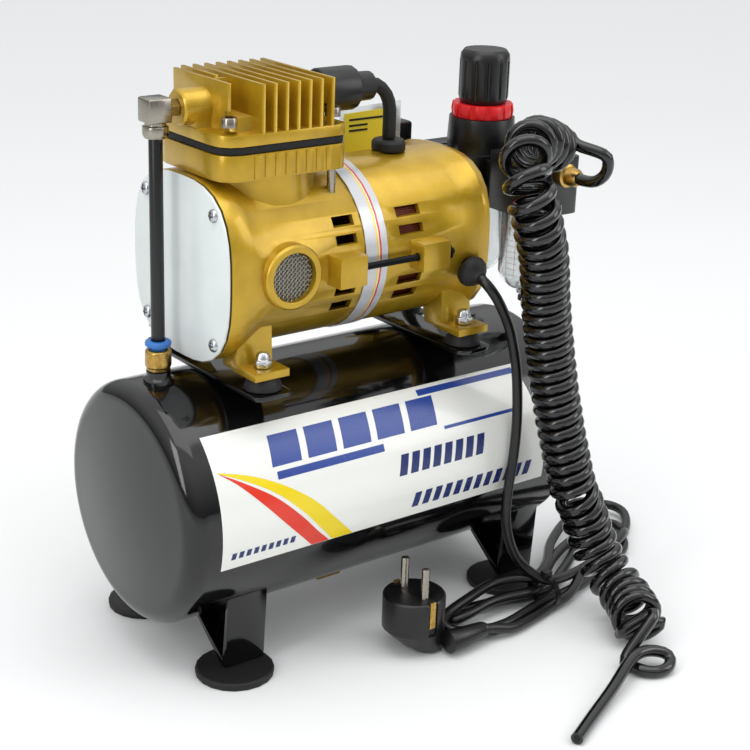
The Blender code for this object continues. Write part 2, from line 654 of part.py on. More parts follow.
# ---- motor housing, band, clamping rods ------------------------------------
def make_motor(pad_z):
    rings = [
        body_ring(SPLIT_X + GAP / 2, BODY_R, BODY_R, 2.0),
        body_ring(0.0560, BODY_R, BODY_R, 2.0),
        body_ring(0.0660, 0.0490, 0.0485, 2.4),
        body_ring(0.0700, 0.0490, 0.0490, 2.9),
        body_ring(REAR_X, 0.0485, 0.0480, 2.9),
        body_ring(REAR_X + 0.0050, 0.0380, 0.0380, 2.2),
    ]
    housing = loft("motor_housing", rings)
    boolean(housing, boxes("motor_lugs", lug_pads(SADDLE_X[1], pad_z)), "UNION")
    for side in (-1, 1):
        boolean(housing, foot_web("motor_web", SADDLE_X[1], side, pad_z), "UNION")
    ears = []
    for side in (-1, 1):
        ya, yb = side * 0.0440, side * 0.0600
        ears.append(((0.0170, min(ya, yb), AXIS_Z - 0.0075), (0.0360, max(ya, yb), AXIS_Z + 0.0085)))
    boolean(housing, boxes("motor_ears", ears), "UNION")
    room_r = BODY_R - BODY_WALL
    room = [body_ring(SPLIT_X - 0.001, room_r, room_r, 2.0), body_ring(0.0680, room_r, room_r, 2.0),
            body_ring(0.0730, 0.0400, 0.0400, 2.0)]
    boolean(housing, loft("motor_hollow", room), "DIFFERENCE")
    boss = [(0, 0), (0.0120, 0), (0.0120, 0.0080), (0, 0.0080)]
    boolean(housing, turned("bearing_boss", boss, (-1, 0, 0), (0.0745, 0, AXIS_Z), 24), "UNION")
    boolean(housing, rod("rear_bore", 0.0045, (0.0600, 0, AXIS_Z), (0.0735, 0, AXIS_Z), 20), "DIFFERENCE")
    boolean(housing, vents("motor_vents", SLOT_SETS[1]), "DIFFERENCE")
    boolean(housing, rod_holes("motor_rod_holes"), "DIFFERENCE")
    boolean(housing, lug_holes("motor_lug_holes", SADDLE_X[1], pad_z), "DIFFERENCE")
    grille = []
    for k in range(5):
        y = -0.0200 + 0.0100 * k
        if k == 2:
            continue
        grille.append(((REAR_X - 0.004, y - 0.0020, AXIS_Z - 0.016),
                       (REAR_X + 0.010, y + 0.0020, AXIS_Z + 0.016)))
    boolean(housing, boxes("rear_grille", grille), "DIFFERENCE")
    gland_hole = rod("gland_hole", 0.0060, (0.0610, -0.0380, 0.2150), (0.0610, -0.0600, 0.2130), 20)
    boolean(housing, gland_hole, "DIFFERENCE")
    boolean(housing, rod("hose_hole", 0.0045, (0.0370, 0, 0.2680), (0.0370, 0, 0.2900), 20), "DIFFERENCE")
    keep(housing, GOLD, 0.32, 0.6)
    ring = [(BODY_R + GAP, BAND_X[0]), (BODY_R + GAP + 0.0005, BAND_X[0]),
            (BODY_R + GAP + 0.0005, BAND_X[1]), (BODY_R + GAP, BAND_X[1])]
    keep(turned("trim_band", ring, (1, 0, 0), (0, 0, AXIS_Z), 64), (0.55, 0.55, 0.57), 0.35, 0.3)
    for tag, side in (("left", -1), ("right", 1)):
        bolt = [(0, -0.0390), (0.0022, -0.0390), (0.0022, 0.0360 + GAP), (0.0044, 0.0360 + GAP),
                (0.0044, 0.0405),
                (0.0022, 0.0405), (0.0022, 0.0430), (0, 0.0430)]
        keep(turned("clamp_rod_" + tag, bolt, (1, 0, 0), (0, side * ROD_Y, AXIS_Z), 12), BLACK, 0.4, 0.5)


# ---- running gear ----------------------------------------------------------
def make_running_gear():
    """Stator, shaft with rotor, eccentric and fan, and the wobble piston."""
    stack = [(0.0245, -0.0020), (BODY_R - BODY_WALL - GAP, -0.0020), (BODY_R - BODY_WALL - GAP, 0.0380),
             (0.0245, 0.0380)]
    stator = turned("stator", stack, (1, 0, 0), (0, 0, AXIS_Z), 40)
    for tag, a, b in (("front", -0.0150, -0.0010), ("rear", 0.0370, 0.0480)):
        coil = [(0.0265, a), (0.0400, a), (0.0400, b), (0.0265, b)]
        boolean(stator, turned("winding_" + tag, coil, (1, 0, 0), (0, 0, AXIS_Z), 32), "UNION")
    keep(stator, (0.34, 0.12, 0.05), 0.45, 0.7)
    body = [(0, -0.0500), (0.0045, -0.0500), (0.0045, -0.0345), (0.0060, -0.0345), (0.0060, -0.0300),
            (0.0238, -0.0020), (0.0238, 0.0380), (0.0060, 0.0400), (0.0060, 0.0520), (0.0340, 0.0520),
            (0.0340, 0.0535), (0.0060, 0.0545), (0.0060, 0.0600), (0.0040, 0.0600),
            (0.0040, 0.0725), (0, 0.0725)]
    shaft = turned("rotor_shaft", body, (1, 0, 0), (0, 0, AXIS_Z), 32)
    fan = ((-0.0060, 0.0060), (-0.0200, -0.0060), (-0.0160, -0.0210), (0.0, -0.0265), (0.0160, -0.0210),
           (0.0200, -0.0060), (0.0060, 0.0060))
    weight = plate("counterweight", [(u, AXIS_Z + v) for u, v in fan], -0.0540, -0.0480, "x")
    boolean(shaft, weight, "UNION")
    pin = rod("crank_pin", 0.0050, (-0.0560, STROKE / 2, AXIS_Z), (-0.0500, STROKE / 2, AXIS_Z), 16)
    boolean(shaft, pin, "UNION")
    blades = []
    for k in range(8):
        a = 2 * math.pi * k / 8
        blades.append(fan_blade(a))
    bm = bmesh.new()
    for blade in blades:
        bm.from_mesh(blade.data)
        bpy.data.objects.remove(blade, do_unlink=True)
    boolean(shaft, place("fan_blades", bm), "UNION")
    shift_origin(shaft, (0, 0, AXIS_Z))
    keep(shaft, STEEL, 0.4, 0.9)
    crown = AXIS_Z + 0.0560
    disc = [(0, -0.0040), (0.0060, -0.0050), (0.0170, -0.0050), (BORE_R, -0.0020),
            (BORE_R, 0.0016), (0.0175, 0.0020),
            (0, 0.0020)]
    piston = turned("piston_rod", disc, at=(CYL_X, 0, crown), steps=40)
    web = box("rod_web", (CYL_X - 0.0045, -0.0070, AXIS_Z + 0.0100), (CYL_X + 0.0005, 0.0070, crown - 0.0030))
    boolean(piston, web, "UNION")
    eye = turned("big_end", [(0.0062, 0), (0.0125, 0), (0.0125, 0.0070), (0.0062, 0.0070)], (1, 0, 0),
                 (CYL_X - 0.0055, 0, AXIS_Z), 28)
    boolean(piston, eye, "UNION")
    shift_origin(piston, (CYL_X, 0, AXIS_Z))
    keep(piston, (0.60, 0.60, 0.61), 0.4, 0.9)


def fan_blade(angle):
    """One flat blade standing on the fan's disc."""
    blade = box("blade", (0.0530, 0.0120, -0.0007), (0.0600, 0.0325, 0.0007))
    turn = Matrix.Translation((0, 0, AXIS_Z)) @ Matrix.Rotation(angle, 4, "X")
    blade.data.transform(turn)
    return blade


# ---- inlet filter, its hose and grommet ------------------------------------
def make_inlet():
    z = ELBOW_Z + 0.0010
    x0 = -0.0170 + GAP
    can = [(0, 0), (0.0118, 0), (0.0125, 0.0008), (0.0125, 0.0235), (0.0112, 0.0250), (0.0085, 0.0250),
           (0.0082, 0.0370), (0, 0.0370)]
    keep(turned("inlet_filter", can, (1, 0, 0), (x0, 0, z), 32), BLACK, 0.35, 0.0)
    x1 = x0 + 0.0370 + GAP
    base = AXIS_Z + BODY_R
    route = [(x1 + 0.0002, 0, z), (x1 + 0.0055, 0, z - 0.0002), (x1 + 0.0110, 0, z - 0.0045),
             (x1 + 0.0142, 0, z - 0.0100),
             (x1 + 0.0153, 0, z - 0.0170), (x1 + 0.0153, 0, base + 0.0070)]
    keep(tube("inlet_hose", smooth_route(route, 0.0045), 0.0040, 2), BLACK, 0.45, 0.0)
    ring = [(0, 0), (0.0100, 0), (0.0100, 0.0045), (0.0088, 0.0062), (0, 0.0062)]
    grommet = turned("hose_grommet", ring, at=(x1 + 0.0153, 0, base + GAP), steps=28)
    keep(grommet, BLACK, 0.5, 0.0)


# ---- filter-regulator and water trap ---------------------------------------
def make_units():
    """Filter-regulator and water trap: bodies, bowls, lock ring and knob."""
    x = UNIT_X
    w = UNIT_W / 2
    for name, y, top in (("regulator_body", UNIT_Y[0], 0.2620), ("trap_body", UNIT_Y[1], 0.2690)):
        body = plate(name, round_rect(x - w, x + w, y - w, y + w, (0.004,) * 4, 2), 0.2340, top)
        step = w + 0.0048
        if name == "regulator_body":
            joint = box("joint_reg", (x - 0.012, y - step, 0.2450), (x + 0.012, y - 0.010, 0.2600))
            boolean(body, joint, "UNION")
            bonnet = [(0, 0), (0.0208, 0), (0.0212, 0.0070), (0.0204, 0.0220), (0, 0.0220)]
            boolean(body, turned("bonnet", bonnet, at=(x, y, 0.2610), steps=32), "UNION")
            stem = [(0, 0), (0.0125, 0), (0.0125, 0.0150), (0, 0.0150)]
            boolean(body, turned("bonnet_neck", stem, at=(x, y, 0.2820), steps=24), "UNION")
            port = rod("inlet_port", 0.0090, (x, y + w - 0.002, 0.2530), (x, y + w + 0.004, 0.2530), 24)
            boolean(body, port, "UNION")
        else:
            joint = box("joint_trap", (x - 0.012, y + 0.010, 0.2450), (x + 0.012, y + step, 0.2600))
            boolean(body, joint, "UNION")
            cap = [(0, 0), (0.0150, 0), (0.0150, 0.0060), (0.0130, 0.0080), (0, 0.0080)]
            boolean(body, turned("trap_cap", cap, at=(x, y, top - 0.001), steps=28), "UNION")
            port = rod("outlet_port", 0.0085, (x, y - w + 0.002, 0.2610), (x, y - w - 0.004, 0.2610), 24)
            boolean(body, port, "UNION")
        hollow = [(0, 0), (0.0150, 0), (0.0150, 0.012), (0, 0.012)]
        boolean(body, turned("sump_" + name, hollow, at=(x, y, 0.2330), steps=28), "DIFFERENCE")
        keep(body, BLACK, 0.4, 0.0)
    for name, y in (("regulator_bowl", UNIT_Y[0]), ("trap_bowl", UNIT_Y[1])):
        make_bowl(name, y)
    y = UNIT_Y[0]
    ring = [(0.0128, 0), (RING_R, 0), (RING_R + 0.0006, 0.0040), (RING_R, 0.0080), (0.0128, 0.0080)]
    lock = turned("lock_ring", ring, at=(x, y, 0.2830 + GAP), steps=40)
    bm = bmesh.new()
    for k in range(12):
        a = 2 * math.pi * k / 12
        part = box_bm((RING_R - 0.0008, -0.0018, -0.001), (RING_R + 0.0030, 0.0018, 0.0095))
        part.transform(Matrix.Translation((x, y, 0.2830)) @ Matrix.Rotation(a, 4, "Z"))
        mesh = bpy.data.meshes.new("notch")
        part.to_mesh(mesh)
        part.free()
        bm.from_mesh(mesh)
        bpy.data.meshes.remove(mesh)
    boolean(lock, place("ring_notches", bm), "DIFFERENCE")
    shift_origin(lock, (x, y, 0.2872))
    keep(lock, (0.75, 0.02, 0.02), 0.4, 0.0)
    knob_z = 0.2917
    cap = [(0, 0.0060), (0.0130, 0.0060), (0.0130, 0), (0.0143, 0), (KNOB_R, 0.0040), (KNOB_R, 0.0260),
           (0.0150, 0.0300), (0.0130, 0.0326), (0, 0.0332)]
    knob = turned("regulator_knob", cap, at=(x, y, knob_z), steps=48)
    grooves = bmesh.new()
    for k in range(12):
        a = 2 * math.pi * k / 12
        part = rod("groove", 0.0011, (x + KNOB_R * math.cos(a), y + KNOB_R * math.sin(a), knob_z + 0.0030),
                   (x + KNOB_R * math.cos(a), y + KNOB_R * math.sin(a), knob_z + 0.0262), 6)
        grooves.from_mesh(part.data)
        bpy.data.objects.remove(part, do_unlink=True)
    boolean(knob, place("knob_grooves", grooves), "DIFFERENCE")
    shift_origin(knob, (x, y, knob_z))
    keep(knob, BLACK, 0.4, 0.0)


def make_bowl(name, y):
    """Clear bowl with a drain guide, and the sprung drain button under it."""
    x = UNIT_X
    top = 0.2340 - GAP
    low = 0.1860
    wall = 0.0016
    line = [(BOWL_R, top), (BOWL_R - 0.0003, low + 0.0090), (BOWL_R - 0.0035, low + 0.0030), (0.0120, low),
            (0.0068, low), (0.0060, low - 0.0050), (0.0042, low - 0.0050), (0.0042, low + wall),
            (0.0115, low + wall), (BOWL_R - 0.0052, low + 0.0042),
            (BOWL_R - wall - 0.0003, low + 0.0095), (BOWL_R - wall, top)]
    bowl = turned(name, line, at=(x, y, 0), steps=36)
    keep(bowl, (0.80, 0.82, 0.82), 0.08, 0.0)
    button = [(0, 0.0), (0.0050, 0.0), (0.0050, 0.0030), (0.0038, 0.0034), (0.0038, 0.0130), (0, 0.0130)]
    drain = turned(name.replace("_bowl", "_drain"), button, at=(x, y, low - 0.0098), steps=20)
    shift_origin(drain, (x, y, low - 0.0098))
    keep(drain, (0.05, 0.05, 0.05), 0.4, 0.0)


def make_supply():
    """Riser from the tank to the regulator, and the pressure switch on it."""
    shoulder = TANK_Z + math.sqrt(TANK_R ** 2 - RISER_Y ** 2)
    z0 = shoulder + 0.009 + GAP
    x0 = 0.1050
    high = 0.2535 - z0
    shape = [(0, 0), (0.0080, 0), (0.0080, 0.0060), (0.0058, 0.0062), (0.0058, high), (0, high)]
    pole = turned("supply_riser", shape, at=(x0, RISER_Y, z0), steps=24)
    arm = box("riser_tee", (x0 - 0.0090, RISER_Y - 0.0062, 0.2440),
              (UNIT_X + 0.0085, RISER_Y + 0.0085, 0.2615))
    boolean(pole, arm, "UNION")
    port_y = UNIT_Y[0] + UNIT_W / 2 + 0.004 + GAP
    boolean(pole, rod("riser_port", 0.0075, (UNIT_X, RISER_Y, 0.2530), (UNIT_X, port_y, 0.2530), 20), "UNION")
    keep(pole, (0.50, 0.33, 0.13), 0.35, 0.9)
    x1 = x0 - 0.0090 - GAP
    switch = box("pressure_switch", (x1 - 0.0380, RISER_Y - 0.0045, 0.2500), (x1, RISER_Y + 0.0215, 0.2780))
    rounded(switch, 0.0020, 2)
    dial = rod("switch_dial", 0.0085, (x1 - 0.0120, RISER_Y + 0.0085, 0.2775),
               (x1 - 0.0120, RISER_Y + 0.0085, 0.2855), 20)
    boolean(switch, dial, "UNION")
    keep(switch, BLACK, 0.4, 0.0)


def make_drain():
    """Wing screw of the tank's drain, under the middle of the barrel."""
    low = TANK_Z - TANK_R - 0.005 - GAP
    screw = turned("drain_screw", [(0, 0.0060), (0.0024, 0.0060), (0.0024, 0), (0.0060, 0), (0.0060, -0.0035),
                                   (0, -0.0035)], at=(0, 0, low), steps=20)
    boolean(screw, box("wing", (-0.0085, -0.0010, low - 0.0085), (0.0085, 0.0010, low - 0.0030)), "UNION")
    shift_origin(screw, (0, 0, low))
    keep(screw, (0.50, 0.33, 0.13), 0.3, 1.0)


# ---- hose and mains lead ---------------------------------------------------
OUT_Y = UNIT_Y[1] - UNIT_W / 2 - 0.004 - GAP


COIL_ROUTE = ((0.1085, -0.0655, 0.2806), (0.0955, -0.0700, 0.2868), (0.0842, -0.0750, 0.2905),
              (0.0730, -0.0805, 0.2907), (0.0640, -0.0865, 0.2872), (0.0595, -0.0925, 0.2800),
              (0.0590, -0.0970, 0.2700), (0.0620, -0.0990, 0.2590), (0.0668, -0.0985, 0.2460),
              (0.0740, -0.0960, 0.2300), (0.0820, -0.0920, 0.2003), (0.0893, -0.0910, 0.1691),
              (0.0952, -0.0930, 0.1379), (0.1016, -0.0970, 0.1064), (0.1079, -0.1010, 0.0803),
              (0.1159, -0.1018, 0.0660), (0.1196, -0.1027, 0.0550), (0.1235, -0.1060, 0.0430),
              (0.1255, -0.1115, 0.0330), (0.1270, -0.1190, 0.0250), (0.1266, -0.1285, 0.0200),
              (0.1225, -0.1410, 0.0175), (0.1140, -0.1550, 0.0170), (0.1040, -0.1670, 0.0165))
TAIL_ROUTE = ((0.1039, -0.1671, 0.0059), (0.1005, -0.1712, 0.0057), (0.0935, -0.1775, 0.0042),
              (0.0915, -0.1850, 0.0038), (0.0950, -0.1905, 0.0037), (0.1015, -0.1925, 0.0040),
              (0.1077, -0.1893, 0.0055), (0.1085, -0.1850, 0.0085), (0.1030, -0.1815, 0.0118),
              (0.0940, -0.1800, 0.0128), (0.0850, -0.1805, 0.0125), (0.0763, -0.1846, 0.0105),
              (0.0550, -0.1941, 0.0065), (0.0274, -0.2062, 0.0040), (0.0075, -0.2160, 0.0037))


def make_hose():
    """Outlet fitting, the coil's envelope, and the straight cut tail."""
    fit = [(0, 0), (0.0070, 0), (0.0070, 0.0060), (0.0055, 0.0064), (0.0055, 0.0120), (0.0040, 0.0150),
           (0, 0.0150)]
    fitting = turned("hose_fitting", fit, (0, -1, 0), (UNIT_X, OUT_Y, 0.2610), 20)
    keep(fitting, (0.50, 0.33, 0.13), 0.3, 1.0)
    start_y = OUT_Y - 0.0150 - GAP - 0.0002
    start = [(UNIT_X, start_y, 0.2610), (UNIT_X, start_y - 0.0040, 0.2610)]
    lead = [(UNIT_X + 0.0012, start_y - 0.0072, 0.2632), (UNIT_X - 0.0010, start_y - 0.0072, 0.2685),
            (UNIT_X - 0.0075, start_y - 0.0030, 0.2745)]
    end = [(0.1132, -0.06386, 0.27835), (0.1089, -0.06535, 0.28040)]
    keep(tube("hose_lead", start + smooth_route(lead, 0.0045) + end, HOSE_R, 2), BLACK, 0.25, 0.0)
    coil = tube("hose_coil", smooth_route(COIL_ROUTE, 0.012), COIL_R, 2)
    keep(coil, BLACK, 0.25, 0.0)
    keep(tube("hose_tail", smooth_route(TAIL_ROUTE, 0.0045), HOSE_R, 2), BLACK, 0.25, 0.0)


HANK = ((0.0215, -0.0860), (0.0240, -0.0925), (0.0320, -0.0968), (0.0366, -0.1000), (0.0366, -0.1100),
        (0.0620, -0.1075), (0.0850, -0.1060), (0.1010, -0.1010), (0.1130, -0.0985), (0.1310, -0.0940),
        (0.1500, -0.0845), (0.1720, -0.0765), (0.1940, -0.0705), (0.2140, -0.0560), (0.2290, -0.0400),
        (0.2368, -0.0250), (0.2300, -0.0100), (0.2130, -0.0090), (0.1780, -0.0190), (0.1590, -0.0290),
        (0.1410, -0.0450), (0.1250, -0.0620), (0.1130, -0.0745), (0.1030, -0.0765), (0.0900, -0.0720),
        (0.0750, -0.0690), (0.0510, -0.0735), (0.0300, -0.0785))


def make_plug():
    """Right-angled mains plug lying on its back, with its pins upwards."""
    rings = []
    for z, radius, lean in ((0.0015, 0.0100, 0.0085), (0.0060, 0.0135, 0.0050), (0.0150, 0.0185, 0.0),
                            (0.0350, 0.0185, 0.0), (0.0360, 0.0175, 0.0)):
        ring = []
        for k in range(24):
            a = math.radians(15 * k + 3)
            ring.append((lean * 0.85 + radius * math.cos(a), -0.0850 - lean * 0.53 + radius * math.sin(a), z))
        rings.append(ring)
    body = loft("mains_plug", rings)
    neck = turned("plug_neck", [(0, 0), (0.0072, 0), (0.0050, 0.0263), (0, 0.0263)], (1, 0, 0),
                  (0.0100, -0.1055, 0.0095), 24)
    boolean(body, neck, "UNION")
    for side in (-1, 1):
        y = -0.0850 + side * 0.0185
        notch = box("plug_notch_" + str(side), (-0.0030, y - 0.0022, 0.0150), (0.0030, y + 0.0022, 0.0400))
        boolean(body, notch, "DIFFERENCE")
        y = -0.0850 + side * 0.0095
        boolean(body, rod("plug_pin_" + str(side), 0.0024, (0, y, 0.0340), (0, y, 0.0545), 16), "UNION")
    return keep(body, BLACK, 0.45, 0.0)


def make_lead():
    """Gland, mains lead, tied hank and plug."""
    gland = [(0, 0), (0.0085, 0), (0.0080, 0.0035), (0.0050, 0.0062), (0, 0.0062)]
    keep(turned("cord_gland", gland, (0, -0.956, -0.294), (0.0605, -0.0490, 0.21255), 28), BLACK, 0.5, 0.0)
    start = [(0.0605, -0.0554, 0.21058), (0.0605, -0.0595, 0.20932)]
    route = [(0.0625, -0.0625, 0.2055), (0.0680, -0.0640, 0.1970), (0.0765, -0.0650, 0.1824),
             (0.0800, -0.0670, 0.1715), (0.0825, -0.0710, 0.1518), (0.0830, -0.0735, 0.1247),
             (0.0815, -0.0745, 0.1004), (0.0770, -0.0760, 0.0755), (0.0755, -0.0780, 0.0566),
             (0.0785, -0.0815, 0.0400), (0.0870, -0.0845, 0.0280)]
    end = [(0.0938, -0.0861, 0.0225), (0.0938, -0.0861, 0.0173)]
    keep(tube("mains_lead", start + smooth_route(route, 0.010) + end, LEAD_R, 2), BLACK, 0.35, 0.0)
    keep(plate("lead_hank", HANK, 0.0008, 0.0170), BLACK, 0.35, 0.0)
    make_plug()


def build():
    make_tank()
    make_legs()
    pad_z = make_saddles()
    make_crankcase(pad_z)
    make_cover()
    make_head()
    make_intake_mesh()
    make_pipe()
    make_motor(pad_z)
    make_running_gear()
    make_inlet()
    make_units()
    make_supply()
    make_drain()
    make_hose()
    make_lead()
    settle()


def settle():
    """Hang everything on one empty, so that the origin is under the machine's middle."""
    base = bpy.data.objects.new("base", None)
    bpy.context.scene.collection.objects.link(base)
    base.location = (-MIDDLE[0], -MIDDLE[1], 0.0)
    for obj in list(PART.objects) + list(CUTTERS.objects):
        if obj.parent is None:
            obj.parent = base


build()
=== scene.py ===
"""Looks of a small piston compressor on an air tank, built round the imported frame."""
import json
import math

import bmesh
import bpy
from mathutils import Matrix, Vector


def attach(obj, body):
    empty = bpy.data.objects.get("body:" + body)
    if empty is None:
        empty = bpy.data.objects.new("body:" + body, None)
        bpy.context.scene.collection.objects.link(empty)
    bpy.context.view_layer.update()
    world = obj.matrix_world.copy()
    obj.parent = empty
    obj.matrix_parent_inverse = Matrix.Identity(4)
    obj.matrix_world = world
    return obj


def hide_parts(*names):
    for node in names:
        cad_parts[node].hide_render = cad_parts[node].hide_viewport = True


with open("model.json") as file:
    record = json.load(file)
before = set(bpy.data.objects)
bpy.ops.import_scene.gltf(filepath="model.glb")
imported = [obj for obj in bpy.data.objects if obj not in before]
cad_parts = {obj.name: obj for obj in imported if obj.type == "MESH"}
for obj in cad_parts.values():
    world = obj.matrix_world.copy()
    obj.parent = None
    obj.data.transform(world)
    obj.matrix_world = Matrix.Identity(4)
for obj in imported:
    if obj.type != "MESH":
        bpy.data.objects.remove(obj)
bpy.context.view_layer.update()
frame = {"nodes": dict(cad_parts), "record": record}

# ---- main sizes, in metres, counted from the middle of the tank -------------
MIDDLE = Vector((0.00228, 0.00253, 0.0))   # the frame's origin, seen from the tank's middle
TANK_R = 0.070
TANK_Z = 0.094
TANK_HALF = 0.129
SHAFT_Z = 0.2276
UNIT_X = 0.129
COVER_X = -0.105
INTAKE_X = -0.0655
UNIT_Y = -0.0250
RISER_X, RISER_Y = 0.105, 0.056
STUD_X, STUD_Y = -0.0258, 0.0287           # the head screws on the motor's side
FILM_LIFT, INK_LIFT = 0.00012, 0.00020     # label film and its print above the tank's enamel


def at(x, y, z):
    """A place counted from the tank's middle, in the frame's coordinates."""
    return Vector((x, y, z)) - MIDDLE


# ---- materials ---------------------------------------------------------------
def linear(code):
    """An sRGB hex colour as linear red, green, blue and alpha."""
    parts = [int(code[i:i + 2], 16) / 255 for i in (1, 3, 5)]
    return tuple(c / 12.92 if c <= 0.04045 else ((c + 0.055) / 1.055) ** 2.4 for c in parts) + (1.0,)


def add(tree, kind, inputs=None, **settings):
    """One node with its settings; an input is a value or another node's output."""
    made = tree.nodes.new(kind)
    for name, value in settings.items():
        setattr(made, name, value)
    for key, value in (inputs or {}).items():
        if isinstance(value, bpy.types.NodeSocket):
            tree.links.new(value, made.inputs[key])
        else:
            made.inputs[key].default_value = value
    return made


def shader_of(name, colour, rough, metal=0.0, **more):
    """A material with one Principled shader, and its tree, shader and object coordinates."""
    mat = bpy.data.materials.new(name)
    mat.use_nodes = True
    tree = mat.node_tree
    shader = tree.nodes["Principled BSDF"]
    shader.inputs["Base Color"].default_value = linear(colour)
    shader.inputs["Roughness"].default_value = rough
    shader.inputs["Metallic"].default_value = metal
    for key, value in more.items():
        shader.inputs[key.replace("_", " ")].default_value = value
    place = add(tree, "ShaderNodeTexCoord").outputs["Object"]
    return mat, tree, shader, place


def grain(tree, shader, place, size, depth, detail=2.0, rough_spread=None, tint=None):
    """Fine unevenness of a surface: bump of a grain size, with roughness and colour that follow it."""
    noise = add(tree, "ShaderNodeTexNoise", {"Vector": place, "Scale": 1.0 / size, "Detail": detail})
    bump = add(tree, "ShaderNodeBump", {"Height": noise.outputs["Fac"], "Distance": depth, "Strength": 1.0})
    tree.links.new(bump.outputs["Normal"], shader.inputs["Normal"])
    if rough_spread:
        spread = add(tree, "ShaderNodeMapRange",
                     {"Value": noise.outputs["Fac"], "From Min": 0.3, "From Max": 0.7,
                      "To Min": rough_spread[0], "To Max": rough_spread[1]})
        tree.links.new(spread.outputs["Result"], shader.inputs["Roughness"])
    if tint:
        wide = add(tree, "ShaderNodeTexNoise", {"Vector": place, "Scale": 1.0 / tint[2], "Detail": 3.0})
        ramp = add(tree, "ShaderNodeValToRGB", {"Fac": wide.outputs["Fac"]})
        ramp.color_ramp.elements[0].position = 0.35
        ramp.color_ramp.elements[1].position = 0.65
        ramp.color_ramp.elements[0].color = linear(tint[0])
        ramp.color_ramp.elements[1].color = linear(tint[1])
        tree.links.new(ramp.outputs["Color"], shader.inputs["Base Color"])


def gold_enamel():
    """Gold metallic enamel sprayed on cast aluminium: soft flake glitter under a clear gloss."""
    mat, tree, shader, place = shader_of("gold_metallic_enamel", "#B8941C", 0.34, 0.66,
                                         Coat_Weight=0.5, Coat_Roughness=0.12)
    grain(tree, shader, place, 0.0011, 0.00002, 3.0, (0.32, 0.42), ("#B38F18", "#BE9A22", 0.012))
    return mat


def black_enamel():
    """Gloss black enamel baked on pressed steel: deep mirror with a trace of orange peel."""
    mat, tree, shader, place = shader_of("gloss_black_enamel", "#060607", 0.09, 0.0, Coat_Weight=0.15,
                                         Coat_Roughness=0.03)
    grain(tree, shader, place, 0.006, 0.00002, 1.0, (0.08, 0.13))
    return mat


def white_enamel():
    """White enamel on a flat steel plate."""
    mat, tree, shader, place = shader_of("white_baked_enamel", "#D3DAD9", 0.32, 0.0, Coat_Weight=0.3)
    grain(tree, shader, place, 0.0016, 0.00001, 2.0, (0.28, 0.38), ("#D0D7D6", "#D7DDDC", 0.03))
    return mat


def moulded(name, colour, rough=0.42, size=0.0007, depth=0.00002, **more):
    """Moulded plastic or rubber with the fine spark-eroded grain of its mould."""
    mat, tree, shader, place = shader_of(name, colour, rough, 0.0, **more)
    grain(tree, shader, place, size, depth, 2.0, (rough * 0.85, rough * 1.15))
    return mat


def metal(name, colour, rough, size=0.0005, depth=0.00001, tint=None):
    """Machined or plated metal, with tool marks too fine to see as more than a soft gloss."""
    mat, tree, shader, place = shader_of(name, colour, rough, 1.0)
    grain(tree, shader, place, size, depth, 2.0, (rough * 0.8, rough * 1.25), tint)
    return mat


def clear_plastic():
    """Clear polycarbonate of the two bowls."""
    mat, tree, shader, place = shader_of("clear_polycarbonate", "#F1F4F4", 0.06, 0.0,
                                         Transmission_Weight=0.92, IOR=1.45)
    grain(tree, shader, place, 0.004, 0.00001, 1.0)
    return mat


def copper_core():
    """Steel core of the stator with lacquered copper windings: reddish brown wires."""
    mat, tree, shader, place = shader_of("lacquered_copper_winding", "#8A4526", 0.42, 0.6)
    wave = add(tree, "ShaderNodeTexWave", {"Vector": place, "Scale": 260.0, "Distortion": 0.6},
               wave_type="BANDS", bands_direction="Z")
    ramp = add(tree, "ShaderNodeValToRGB", {"Fac": wave.outputs["Fac"]})
    ramp.color_ramp.elements[0].color = linear("#2E110A")
    ramp.color_ramp.elements[1].color = linear("#7A331B")
    tree.links.new(ramp.outputs["Color"], shader.inputs["Base Color"])
    return mat


def band_material():
    """Silver film with one red and one yellow line near the motor's side."""
    mat, tree, shader, place = shader_of("silver_film_with_lines", "#C6C8CC", 0.30, 0.45)
    xyz = add(tree, "ShaderNodeSeparateXYZ", {"Vector": place})
    span = add(tree, "ShaderNodeMapRange", {"Value": xyz.outputs["X"], "From Min": -0.0151 - MIDDLE.x,
                                            "From Max": -0.0002 - MIDDLE.x, "To Min": 0.0, "To Max": 1.0})
    ramp = add(tree, "ShaderNodeValToRGB", {"Fac": span.outputs["Result"]})
    ramp.color_ramp.interpolation = "CONSTANT"
    stops = ((0.0, "#C6C8CC"), (0.50, "#E9C84A"), (0.58, "#D9DBDD"), (0.63, "#D2452C"), (0.71, "#C6C8CC"))
    for k, (where, colour) in enumerate(stops):
        stop = ramp.color_ramp.elements[0] if k == 0 else ramp.color_ramp.elements.new(where)
        stop.position, stop.color = where, linear(colour)
    ramp.color_ramp.elements.remove(ramp.color_ramp.elements[-1])
    tree.links.new(ramp.outputs["Color"], shader.inputs["Base Color"])
    return mat


